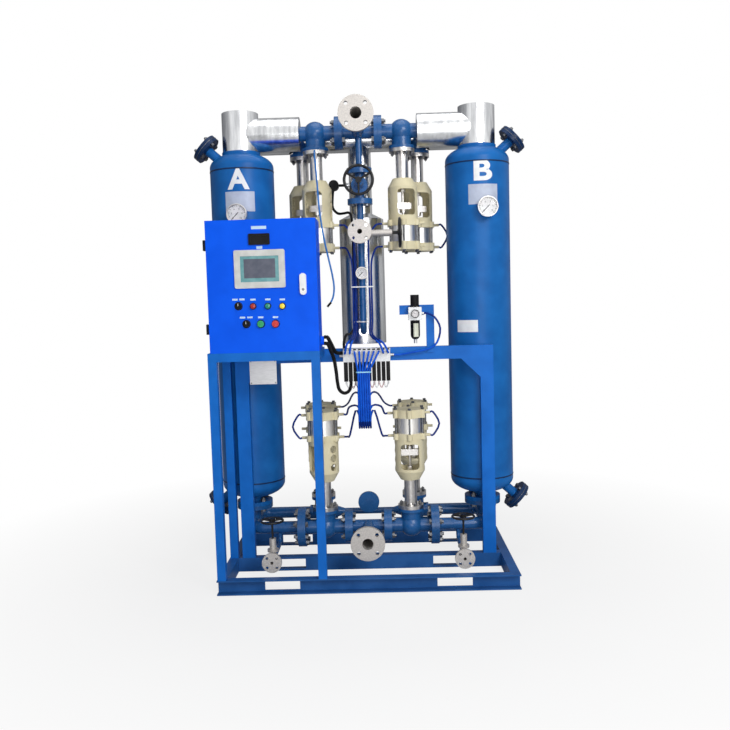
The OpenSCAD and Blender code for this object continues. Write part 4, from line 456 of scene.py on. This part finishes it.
def smooth_route(points):
    """The same smooth curve through the route's points as in the part's source."""
    p = [Vector(q) for q in points]
    out = []
    for i in range(len(p) - 1):
        a, b, c, d = p[max(i - 1, 0)], p[i], p[i + 1], p[min(i + 2, len(p) - 1)]
        for k in range(CURVE_STEPS):
            t = k / CURVE_STEPS
            out.append(0.5 * (2 * b + (c - a) * t + (2 * a - 5 * b + 4 * c - d) * t ** 2
                              + (3 * b - a - 3 * c + d) * t ** 3))
    out.append(p[-1])
    return out


def add_hanging_hose():
    """The loose hose as a curve, with a black sleeve on its open end."""
    line = smooth_route(HOSE_ROUTE)
    data = bpy.data.curves.new("loose_hose", "CURVE")
    data.dimensions = "3D"
    data.bevel_depth = HOSE_D / 2
    data.bevel_resolution = 3
    data.use_fill_caps = True
    spline = data.splines.new("POLY")
    spline.points.add(len(line) - 1)
    for point, place in zip(spline.points, line):
        point.co = (*place, 1)
    data.materials.append(PALE_HOSE)
    hose = bpy.data.objects.new("loose_hose", data)
    bpy.context.scene.collection.objects.link(hose)
    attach(hose, "frame")
    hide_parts("hanging_hose")
    end = line[-1]
    back = (line[-4] - end).normalized()
    sleeve = Piece().rod(end, back, HOSE_D * SLEEVE_SHARE, SLEEVE_LEN, 20).done("hose_sleeve", BLACK, "frame")
    length = sum((b - a).length for a, b in zip(line, line[1:]))
    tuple(HOSE_ROUTE[0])


# Towers

LETTER_Z = {"a": 1.974, "b": 1.980}
LETTER_SIZE = 0.135
LETTER_WIDTH = {"a": 1.07, "b": 1.28}
LETTER_WEIGHT = 0.0045
LETTER_TURN = 2.0
PLATE_TURN = 3.7
PLATE_Z = 1.864
PLATE_SIZE = (0.148, 0.098)
LABEL_TURN = -29.5
LABEL_Z = 1.214
LABEL_SIZE = (0.112, 0.060)
PORTAL_Y = -0.066
NAMEPLATE = ((-0.569, 0.955), (-0.435, 1.077))
RIVET_IN = 0.007
RIVET = (0.003, 0.0014)
SEAM_THICK = 0.0016
SEAM_FLAT = 2.4
DECAL_LIFT = 0.0008
PLATE_T = 0.0012


def add_tower_marks():
    """A plain letter and a bare plate on each tower, and a bare label on one."""
    for tower, place in TOWERS.items():
        letter = words_mesh(tower.upper(), LETTER_SIZE, LETTER_WEIGHT)
        letter.transform(Matrix.Diagonal((LETTER_WIDTH[tower], 1, 1, 1)))
        letter = wrap_round(letter, place, TOWER_R, LETTER_TURN, LETTER_Z[tower], DECAL_LIFT)
        Piece().mesh(letter).done(f"letter_{tower}", LABEL, "frame")
        plate = wrap_round(flat_plate(*PLATE_SIZE, PLATE_T), place, TOWER_R, PLATE_TURN, PLATE_Z, 0)
        Piece().mesh(plate).done(f"bare_plate_{tower}", TOWER_PLATE, "frame")
        # Thin dark rings at the weld seams: painted shade of the grooves there.
        seams = Piece()
        for z in SEAMS:
            seams.ring((*place, z), (0, 0, 1), TOWER_R, SEAM_THICK, 96, 8, SEAM_FLAT)
        seams.done(f"weld_seams_{tower}", SHADE_NAVY, "frame")
    label = wrap_round(flat_plate(*LABEL_SIZE, PLATE_T / 2), TOWERS["b"], TOWER_R, LABEL_TURN, LABEL_Z, 0)
    Piece().mesh(label).done("bare_label", LABEL, "frame")
    low, high = NAMEPLATE
    plate = Piece().box((low[0], PORTAL_Y - PLATE_T, low[1]), (high[0], PORTAL_Y, high[1]))
    plate.done("bare_nameplate", PLATE, "frame", smooth=False)
    rivets = Piece()
    for x in (low[0] + RIVET_IN, high[0] - RIVET_IN):
        for z in (low[1] + RIVET_IN, high[1] - RIVET_IN):
            rivets.dome((x, PORTAL_Y - PLATE_T, z), (0, -1, 0), *RIVET, 16)
    rivets.done("nameplate_rivets", ZINC_AND_SHADE, "frame")


PORT_RISE = 1.991
PORT_LOW = 0.474
PORT_LEAN = math.radians(48)
PORT_REACH = 0.241
PORT_FLANGE_R = 0.075
PORT_FLANGE_T = 0.017
PORT_SLACK = 0.0005
GASKET_THICK = 0.0012


def service_ports(tower):
    """Foot and direction of the two service ports of a tower."""
    x, y = TOWERS[tower]
    out = math.copysign(math.sin(PORT_LEAN), x)
    yield Vector((x, y, PORT_RISE)), Vector((out, 0, math.cos(PORT_LEAN)))
    yield Vector((x, y, PORT_LOW)), Vector((out, 0, -math.cos(PORT_LEAN)))


def add_port_joints():
    """Flanges darkened with painted shade, as seen from below, and a gasket between each service port and its
    cover.
    """
    for tower in TOWERS:
        gaskets = Piece()
        for foot, way in service_ports(tower):
            flange = PORT_REACH - PORT_FLANGE_T - PORT_SLACK
            dress_faces(f"tower_{tower}_vessel", SHADE_NAVY, lambda c: (c - foot).dot(way) > flange)
            gaskets.ring(foot + way * PORT_REACH, way, PORT_FLANGE_R, GASKET_THICK, 64, 8)
        gaskets.done(f"port_gaskets_{tower}", ZINC_AND_SHADE, "frame")


# Gauges

DIAL_MARKS = 11
DIAL_SWEEP = 270
DIAL_START = 135
DIAL_T = 0.0004
INK_LIFT = 0.0008
INK_T = 0.0003
FULL_SCALE = 16
# Shares of a dial's radius
DIAL_SHARE = 0.985
WINDOW_SHARE = 0.97
MARK_AT = 0.84
LONG_MARK = (0.035, 0.16)
SHORT_MARK = (0.02, 0.09)
DIGITS_AT = 0.56
DIGIT_SIZE = 0.26
# Rim and window, behind the rim's front
RIM_THICK = 0.003
RIM_IN = 0.002
WINDOW_IN = 0.003
WINDOW_RISE = 0.0016


def add_gauge(name, centre, radius, front):
    """Dial, marks, plain numbers, rim and window. centre lies on the dial, front is the rim's Y."""
    x, y, z = centre
    Piece().rod((x, y, z), (0, -1, 0), radius * DIAL_SHARE, DIAL_T, 64).done(f"dial_{name}", DIAL, "frame")
    face = Matrix.Translation((x, y - INK_LIFT, z)) @ FRONT_TURN
    steps = DIAL_MARKS * 2 - 2
    marks = Piece()
    for i in range(steps + 1):
        a = math.radians(DIAL_START - DIAL_SWEEP * i / steps)
        wide, tall = SHORT_MARK if i % 2 else LONG_MARK
        spot = face @ Matrix.Rotation(a, 4, "Z") @ Matrix.Translation((0, radius * MARK_AT, 0))
        size = Matrix.Diagonal((radius * wide, radius * tall, INK_T, 1))
        bmesh.ops.create_cube(marks.bm, size=1, matrix=spot @ size)
        if i % 4 == 0:
            digits = words_mesh(str(int(FULL_SCALE * i / steps)), radius * DIGIT_SIZE)
            where = Vector((-math.sin(a), math.cos(a), 0)) * radius * DIGITS_AT
            digits.transform(face @ Matrix.Translation(where))
            marks.mesh(digits)
    marks.done(f"marks_{name}", BLACK, "frame", smooth=False)
    rim = Piece().ring((x, front + RIM_IN, z), (0, -1, 0), radius, RIM_THICK, 64, 10)
    rim.done(f"rim_{name}", STAINLESS, "frame")
    glass = Piece().dome((x, front + WINDOW_IN, z), (0, -1, 0), radius * WINDOW_SHARE, WINDOW_RISE, 64)
    glass.done(f"window_{name}", WINDOW, "frame")


GAUGE_RADII = {"a": 0.047, "b": 0.047, "line": 0.028}
GAUGE_DEPTH = 0.010
NEEDLE_LIFT = 0.0042
DIAL_LIFT = 0.0001
SMALL_DIAL_R = 0.017
SMALL_DIAL_IN = 0.0049
SMALL_DIAL_Z = 1.286
SMALL_GAUGE_H = 0.013
SMALL_MARK_AT = 0.0135
SMALL_MARK = (0.0008, 0.004, 0.0003)
SMALL_HAND = (0.001, 0.016, 0.0004)
SMALL_HAND_AT = 0.004
SMALL_HAND_LIFT = 0.001
SMALL_HAND_TURN = math.radians(60)
BOWL_R = 0.023
BOWL_LOW = 1.161
BOWL_TOP = 1.2538
BOWL_MID = 1.206
BOWL_TURN = 8
BOWL_WINDOW = (0.024, 0.066)
KNOB_COLLAR = [(0.0240, 0), (0.0240, 0.003), (0.0205, 0.0095), (0.0075, 0.0095)]


def add_gauges():
    """Dresses the gauges round the needles' own axes."""
    for name, radius in GAUGE_RADII.items():
        x, _, z = JOINTS[f"needle_turn_{name}"]["pos_m"]
        dial_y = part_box(f"gauge_needle_{name}")[0].y + NEEDLE_LIFT
        add_gauge(name, (x, dial_y - DIAL_LIFT, z), radius, dial_y - GAUGE_DEPTH)
    low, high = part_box("regulator_unit")
    x = JOINTS["regulator_turn"]["pos_m"][0]
    centre = Vector((x, low.y + SMALL_DIAL_IN, SMALL_DIAL_Z))
    Piece().rod(centre, (0, -1, 0), SMALL_DIAL_R, DIAL_T, 48).done("dial_regulator", DIAL, "frame")
    marks = Piece()
    face = Matrix.Translation(centre - Vector((0, INK_LIFT, 0))) @ FRONT_TURN
    for i in range(DIAL_MARKS):
        a = math.radians(DIAL_START - DIAL_SWEEP * i / (DIAL_MARKS - 1))
        spot = face @ Matrix.Rotation(a, 4, "Z") @ Matrix.Translation((0, SMALL_MARK_AT, 0))
        bmesh.ops.create_cube(marks.bm, size=1, matrix=spot @ Matrix.Diagonal((*SMALL_MARK, 1)))
    hand = Matrix.Translation(centre - Vector((0, SMALL_HAND_LIFT, 0))) @ FRONT_TURN
    hand = hand @ Matrix.Rotation(SMALL_HAND_TURN, 4, "Z") @ Matrix.Translation((0, SMALL_HAND_AT, 0))
    bmesh.ops.create_cube(marks.bm, size=1, matrix=hand @ Matrix.Diagonal((*SMALL_HAND, 1)))
    marks.done("marks_regulator", BLACK, "frame", smooth=False)
    rim = low.y + SMALL_GAUGE_H
    dress_faces("regulator_unit", BLACK, lambda c: c.y < rim or BOWL_LOW < c.z < BOWL_TOP)
    place = (x, JOINTS["regulator_turn"]["pos_m"][1])
    glass = wrap_round(flat_plate(*BOWL_WINDOW, PLATE_T), place, BOWL_R, BOWL_TURN, BOWL_MID, 0)
    Piece().mesh(glass).done("bowl_window", BOWL, "frame")
    Piece().turned((*place, high.z), (0, 0, 1), KNOB_COLLAR).done("knob_collar", BLACK, "frame")


# Cabinet

DOOR_Y = -0.400
DOOR_SKIN = 0.0006
PILOTS = {
    "red": (-0.486, 1.346, RED_LENS),
    "green": (-0.419, 1.345, GREEN_LENS),
    "yellow": (-0.353, 1.343, YELLOW_LENS),
}
LENS_R = 0.0118
LENS_RISE = 0.0038
LENS_SEAT = 0.0121
CAPTION_RISE = 0.030
CAPTION_SIZE = (0.024, 0.008)
CAPTION_PLACES = [(-0.568, 1.348), (-0.536, 1.348), (-0.486, 1.346), (-0.419, 1.345), (-0.353, 1.343),
                  (-0.537, 1.266), (-0.503, 1.266), (-0.454, 1.265), (-0.387, 1.264)]
METER_CAPTION = (0.068, 0.014)
METER_CAPTION_RISE = 0.027
PANEL_CAPTION = (0.026, 0.012)
PANEL_CAPTION_DROP = 0.012
PANEL_LIP = 0.002
SCREEN_FRAME = (0.174, 0.116)
SCREEN_SIZE = (0.142, 0.086)
SCREEN_RISE = 0.002
CONTROL_RING = (0.0172, 0.0018)
SELECTOR_MARK = (0.0016, 0.012)
MARK_T = 0.00005
KEY_R = 0.006
KEY_RISE = 0.024
KEY_T = 0.0004


def plate_on_door(piece, x, z, size, y=DOOR_Y):
    """A thin plate on the door, centred on x and z, with its back at y."""
    w, h = size
    return piece.box((x - w / 2, y - DOOR_SKIN, z - h / 2), (x + w / 2, y, z + h / 2))


def middle(node):
    """A node's box with its middle across and up."""
    low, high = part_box(node)
    return low, high, (low.x + high.x) / 2, (low.z + high.z) / 2


def add_cabinet():
    """Lenses, screen, bare captions and rings on the door."""
    for name, (x, z, finish) in PILOTS.items():
        lens = Piece().dome((x, DOOR_Y - LENS_SEAT, z), (0, -1, 0), LENS_R, LENS_RISE)
        lens.done(f"lens_{name}", finish, "door")
    captions = Piece()
    for x, z in CAPTION_PLACES:
        plate_on_door(captions, x, z + CAPTION_RISE, CAPTION_SIZE)
    low, high, x, _ = middle("panel_meter")
    plate_on_door(captions, x, high.z + METER_CAPTION_RISE, METER_CAPTION)
    plate_on_door(captions, x, low.z - PANEL_CAPTION_DROP, PANEL_CAPTION)
    captions.done("bare_captions", CAPTION, "door", smooth=False)
    low, high, x, z = middle("hmi_panel")
    face = low.y + PANEL_LIP
    edge = plate_on_door(Piece(), x, z, SCREEN_FRAME, face)
    edge.done("screen_edge", SCREEN_EDGE, "door", smooth=False)
    screen = plate_on_door(Piece(), x, z + SCREEN_RISE, SCREEN_SIZE, face - DOOR_SKIN)
    screen.done("screen", SCREEN, "door", smooth=False)
    rings = Piece()
    for button in ("start_button", "stop_button", "mode_selector", "power_selector"):
        _, _, x, z = middle(button)
        rings.ring((x, DOOR_Y, z), (0, -1, 0), *CONTROL_RING, 40, 8)
    rings.done("control_rings", BLACK, "door")
    for selector in ("mode_selector", "power_selector"):
        low, _, x, z = middle(selector)
        w, h = SELECTOR_MARK
        mark = Piece().box((x - w / 2, low.y - MARK_T, z), (x + w / 2, low.y, z + h))
        mark.done(f"mark_{selector}", LABEL, selector, smooth=False)
    low, _, x, _ = middle("door_handle")
    key = Piece().rod((x, low.y, low.z + KEY_RISE), (0, -1, 0), KEY_R, KEY_T, 24)
    key.done("handle_key", ZINC_AND_SHADE, "door_handle")


# Valves

BONNET_FACE = 0.108
BONNET_PCD = 0.104
BONNET_BOLTS = 8
NUT_R = 0.0088
NUT_H = 0.010
STUD_SHARE = 0.55
STUD_OUT = 0.006
SEAT_GAP = 0.0005


def valve_axes():
    """Where each control valve's pipe axis crosses its stem, and which way its stack runs."""
    for kind, up in (("inlet", 1), ("exhaust", 1), ("outlet", -1), ("regen", -1)):
        for side in "ab":
            low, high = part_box(f"{kind}_stem_{side}")
            z = low.z - SEAT_GAP if up > 0 else high.z + SEAT_GAP
            yield f"{kind}_{side}", Vector(((low.x + high.x) / 2, (low.y + high.y) / 2, z)), up


def add_valve_bolts():
    """Nuts with stud ends on every bonnet flange."""
    for name, axis, up in valve_axes():
        nuts = Piece()
        for i in range(BONNET_BOLTS):
            a = 2 * math.pi * (i + 0.5) / BONNET_BOLTS
            spot = axis + Vector((math.cos(a) * BONNET_PCD / 2, math.sin(a) * BONNET_PCD / 2, up * BONNET_FACE))
            nuts.rod(spot, (0, 0, up), NUT_R, NUT_H, 6)
            nuts.dome(spot, (0, 0, up), NUT_R * STUD_SHARE, NUT_H + STUD_OUT, 16)
        nuts.done(f"bonnet_nuts_{name}", ZINC_AND_SHADE, "frame")


# Hose ties

BUNDLE_TIE = (0.0, -0.160, 1.008)
BUNDLE_HALF = (0.036, 0.0085)
PIPE_TIES = {
    1.424: [(-0.0545, 0.106), (0.0545, 0.106), (0.0545, 0.119), (0.018, 0.163), (-0.040, 0.1725), (-0.050, 0.170),
            (-0.0545, 0.160)],
    1.244: [(-0.0500, 0.151), (-0.0060, 0.1255), (0.0100, 0.128), (0.0185, 0.144), (0.0100, 0.160), (-0.040, 0.169),
            (-0.0520, 0.165)],
}
TIE_H = 0.006
TIE_T = 0.0014
TIE_ROUNDING = 0.6
SPARE_XS = (-0.022, -0.011, 0.0, 0.011, 0.022)
SPARE_LINE = [(-0.1515, 1.004), (-0.1555, 0.920), (-0.1535, 0.800), (-0.122, 0.744), (-0.094, 0.772)]
SPARE_R = 0.0045


def rounded_outline(x, y, half_w, half_d, corners=32):
    """A rectangle with well rounded ends."""
    outline = []
    for i in range(corners):
        a = 2 * math.pi * i / corners
        c, s = (math.copysign(abs(v) ** TIE_ROUNDING, v) for v in (math.cos(a), math.sin(a)))
        outline.append((x + half_w * c, y + half_d * s))
    return outline


def strap(piece, outline, z):
    """A tie as a flat band along an outline round a bundle."""
    count = len(outline)
    centre = Vector((sum(x for x, _ in outline) / count, sum(y for _, y in outline) / count))
    grown = [Vector(p) + (Vector(p) - centre).normalized() * TIE_T for p in outline]
    loops = [[piece.bm.verts.new((*p, z + dz)) for p in line] for line in (outline, grown) for dz in (0, TIE_H)]
    for i in range(count):
        k = (i + 1) % count
        for a, b in ((0, 1), (1, 3), (3, 2), (2, 0)):
            piece.bm.faces.new((loops[a][i], loops[a][k], loops[b][k], loops[b][i]))
    return piece


def add_ties():
    """A tie on the bundle with its spare hose, and two round the purge pipe and the lines that climb it."""
    x, y, z = BUNDLE_TIE
    strap(Piece(), rounded_outline(x, y, *BUNDLE_HALF), z).done("bundle_tie", TIE, "frame")
    ties = Piece()
    for z, outline in PIPE_TIES.items():
        strap(ties, outline, z)
    ties.done("pipe_ties", WHITE, "frame", smooth=False)
    spare = Piece()
    for x in SPARE_XS:
        spare.tube(smooth_route([(x, y, z) for y, z in SPARE_LINE]), SPARE_R, 12)
    spare.done("spare_hoses", HOSE, "frame")


# The cables' routes between cabinet and manifold, as in the part's source
CONDUIT_ROUTES = [
    [(-0.178, -0.290, 1.191), (-0.162, -0.290, 1.191), (-0.150, -0.240, 1.161), (-0.138, -0.170, 1.122),
     (-0.132, -0.110, 1.106), (-0.116, -0.0885, 1.102), (-0.100, -0.0885, 1.102)],
    [(-0.178, -0.290, 1.161), (-0.162, -0.290, 1.161), (-0.152, -0.240, 1.128), (-0.140, -0.190, 1.080),
     (-0.134, -0.150, 1.020), (-0.130, -0.126, 0.960), (-0.122, -0.114, 0.922), (-0.098, -0.104, 0.904),
     (-0.074, -0.096, 0.916), (-0.0652, -0.0885, 0.945), (-0.0652, -0.0885, 0.961)],
]
RIB_PITCH = 0.005
RIB = (0.0070, 0.0020)


def steps_along(line, pitch):
    """Places and directions at equal steps along a line."""
    at = pitch
    for a, b in zip(line, line[1:]):
        way = (b - a).normalized()
        while at < (b - a).length:
            yield a + way * at, way
            at += pitch
        at -= (b - a).length


def add_conduits():
    """Ribs of corrugated conduit on the cables from the cabinet."""
    ribs = Piece()
    for route in CONDUIT_ROUTES:
        for spot, way in steps_along(smooth_route(route), RIB_PITCH):
            ribs.ring(spot, way, *RIB, 20, 6)
    ribs.done("conduit_ribs", CABLE, "frame")


# Manifold

STATIONS = 10
STATION_PITCH = 0.0232
RAIL_LEFT = -0.100
RAIL_FRONT = -0.111
FITTING_Y = -0.129
FITTING_Z = 1.105
COIL_LOW = 0.961
COIL_MID_Y = -0.0885
COLLAR_IN = 0.004
COLLAR = (0.0080, 0.0016)
STRIP_HALF = 0.0075
STRIP_T = 0.0012
STRIP_ZS = (1.1145, 1.1215)
PLUG_HALF = 0.008
PLUG_YS = (-0.1115, -0.1055)
PLUG_ZS = (0.985, 1.030)
WIRE_SPREAD = 0.0025
WIRE_DEPTH = 0.004
WIRE_START = 0.002
WIRE_STEPS = 14
WIRE_DROP = 0.034
WIRE_R = 0.0018


def add_manifold():
    """Collars, cover strips and coil plugs at each station, and the lead wires that loop under the coils."""
    collars, strips, plugs = Piece(), Piece(), Piece()
    wires = {"red": Piece(), "white": Piece()}
    for i in range(STATIONS):
        x = RAIL_LEFT + (i + 0.5) * STATION_PITCH
        collars.ring((x, FITTING_Y + COLLAR_IN, FITTING_Z), (0, -1, 0), *COLLAR, 24, 8)
        strips.box((x - STRIP_HALF, RAIL_FRONT - STRIP_T, STRIP_ZS[0]), (x + STRIP_HALF, RAIL_FRONT, STRIP_ZS[1]))
        plugs.box((x - PLUG_HALF, PLUG_YS[0], PLUG_ZS[0]), (x + PLUG_HALF, PLUG_YS[1], PLUG_ZS[1]))
        if i == STATIONS - 1 or i == STATIONS // 2 - 1:
            continue
        wire = wires["red" if i % 2 else "white"]
        for way in (1, -1):
            side, dy = WIRE_SPREAD * way, WIRE_DEPTH * way
            start = Vector((x + side, COIL_MID_Y + dy, COIL_LOW + WIRE_START))
            span, drop = STATION_PITCH - 2 * side, WIRE_DROP + dy
            turns = [math.pi * k / WIRE_STEPS for k in range(WIRE_STEPS + 1)]
            line = [start + Vector((span * (1 - math.cos(t)) / 2, 0, -drop * math.sin(t))) for t in turns]
            wire.tube(line, WIRE_R)
    collars.done("push_in_collars", WHITE, "frame")
    strips.done("rail_strips", BLACK, "frame", smooth=False)
    plugs.done("coil_plugs", BLACK, "frame", smooth=False)
    wires["red"].done("coil_wires_red", PINK, "frame")
    wires["white"].done("coil_wires_white", WHITE, "frame")


# Light and floor

FLOOR_SIZE = 40.0
FLOOR_Z = -0.0005
FLOOR_SHADES = ((0.62, 0.62, 0.62), (0.66, 0.66, 0.66))
FLOOR_FADE = (1.0, 2.6, 0.80, 1.0)
BRIGHT_SIDE = Vector((0.40, -0.80, 0.45)).normalized()
DIM_TONE = (0.08, 0.085, 0.10, 1)
BRIGHT_TONE = (1.0, 1.0, 1.0, 1)
DIFFUSE_LEVEL = 0.32
GLOSSY_LEVEL = 1.0
LAMP_AIM = Vector((0, 0, 1.2))
# Place, size and power
LAMPS = {
    "key": ((2.2, -4.4, 3.4), 2.0, 135),
    "fill": ((-3.2, -3.0, 2.6), 2.4, 5),
    "top": ((0.2, -0.4, 5.2), 3.0, 60),
    "front": ((0.4, -5.2, 1.1), 2.0, 50),
}


def plainly_seen(nodes, links):
    """1 for rays that come straight from the camera or through a window."""
    seen = nodes.new("ShaderNodeLightPath")
    either = nodes.new("ShaderNodeMath")
    either.operation = "MAXIMUM"
    links.new(seen.outputs["Is Camera Ray"], either.inputs[0])
    links.new(seen.outputs["Is Transmission Ray"], either.inputs[1])
    return either.outputs[0]


def add_stage():
    """A pale floor, a white surround for the camera and soft studio light."""
    bpy.ops.mesh.primitive_plane_add(size=FLOOR_SIZE, location=(0, 0, FLOOR_Z))
    floor = bpy.context.object
    floor.name = "studio_floor"
    ground = Finish("studio_floor")
    ground.shades(*FLOOR_SHADES, ground.noise(1.5))
    ground.set(Roughness=0.9)
    reach = ground.nodes.new("ShaderNodeVectorMath")
    reach.operation = "LENGTH"
    ground.links.new(ground.place, reach.inputs[0])
    fade = ground.nodes.new("ShaderNodeMapRange")
    for socket, value in zip(("From Min", "From Max", "To Min", "To Max"), FLOOR_FADE):
        fade.inputs[socket].default_value = value
    ground.links.new(reach.outputs["Value"], fade.inputs["Value"])
    share = ground.nodes.new("ShaderNodeMath")
    share.operation = "MULTIPLY"
    ground.links.new(plainly_seen(ground.nodes, ground.links), share.inputs[0])
    ground.links.new(fade.outputs["Result"], share.inputs[1])
    shine = ground.nodes.new("ShaderNodeEmission")
    shine.inputs["Strength"].default_value = 1.0
    mix = ground.nodes.new("ShaderNodeMixShader")
    ground.links.new(share.outputs[0], mix.inputs["Fac"])
    ground.links.new(ground.shader.outputs["BSDF"], mix.inputs[1])
    ground.links.new(shine.outputs["Emission"], mix.inputs[2])
    ground.links.new(mix.outputs["Shader"], ground.nodes["Material Output"].inputs["Surface"])
    floor.data.materials.append(ground.material)

    world = bpy.data.worlds.new("studio")
    bpy.context.scene.world = world
    world.use_nodes = True
    nodes, links = world.node_tree.nodes, world.node_tree.links
    back = nodes["Background"]
    place = nodes.new("ShaderNodeTexCoord")
    side = nodes.new("ShaderNodeVectorMath")
    side.operation = "DOT_PRODUCT"
    side.inputs[1].default_value = BRIGHT_SIDE
    links.new(place.outputs["Generated"], side.inputs[0])
    spread = nodes.new("ShaderNodeMapRange")
    spread.inputs["From Min"].default_value = -1.0
    links.new(side.outputs["Value"], spread.inputs["Value"])
    tone = nodes.new("ShaderNodeValToRGB")
    tone.color_ramp.elements[0].color = DIM_TONE
    tone.color_ramp.elements[1].color = BRIGHT_TONE
    links.new(spread.outputs["Result"], tone.inputs["Fac"])
    links.new(tone.outputs["Color"], back.inputs["Color"])
    seen = nodes.new("ShaderNodeLightPath")
    level = nodes.new("ShaderNodeMapRange")
    level.inputs["To Min"].default_value = DIFFUSE_LEVEL
    level.inputs["To Max"].default_value = GLOSSY_LEVEL
    links.new(seen.outputs["Is Glossy Ray"], level.inputs["Value"])
    links.new(level.outputs["Result"], back.inputs["Strength"])
    white = nodes.new("ShaderNodeBackground")
    white.inputs["Color"].default_value = (1, 1, 1, 1)
    choose = nodes.new("ShaderNodeMixShader")
    links.new(plainly_seen(nodes, links), choose.inputs["Fac"])
    links.new(back.outputs["Background"], choose.inputs[1])
    links.new(white.outputs["Background"], choose.inputs[2])
    links.new(choose.outputs["Shader"], nodes["World Output"].inputs["Surface"])

    for name, (place, size, power) in LAMPS.items():
        data = bpy.data.lights.new(name, "AREA")
        data.size = size
        data.energy = power
        lamp = bpy.data.objects.new(name, data)
        aim = LAMP_AIM - Vector(place)
        lamp.matrix_world = Matrix.Translation(place) @ aim.to_track_quat("-Z", "Y").to_matrix().to_4x4()
        bpy.context.scene.collection.objects.link(lamp)


# Where finishes change within a CAD node

FAN_TOP = 1.165
ARCH_TOP = 0.930
# Below this the bundle's foot carries painted shade.
SHADED_FOOT_TOP = 0.768
BUNDLE_SIDE = 0.038
HEADER_ZS = (0.200, 2.212)
HEADER_BORE_R = 0.028
COIL_TOP = 1.0565
HINGE_X = -0.6925


def main():
    bpy.context.scene.view_settings.view_transform = "Standard"
    add_camera()
    dress_nodes()
    add_hanging_hose()
    dress_faces("solenoid_manifold", BLACK, lambda c: c.z < COIL_TOP)
    # The bundle's foot is darkened as painted shade; above the fan and on the arches beside the bundle the hoses
    # are darker.
    dress_faces("pilot_hoses", DARKER_HOSE,
                lambda c: c.z > FAN_TOP or c.z < SHADED_FOOT_TOP or c.z < ARCH_TOP and abs(c.x) > BUNDLE_SIDE)
    for node in ("cabinet_box", "cabinet_door"):
        dress_faces(node, BLACK, lambda c: c.x < HINGE_X)
    for z in HEADER_ZS:
        dress_faces("main_headers", CAST_STEEL, lambda c: math.hypot(c.x, c.z - z) < HEADER_BORE_R)
    add_tower_marks()
    add_port_joints()
    add_gauges()
    add_cabinet()
    add_valve_bolts()
    add_ties()
    add_conduits()
    add_manifold()
    add_stage()


main()
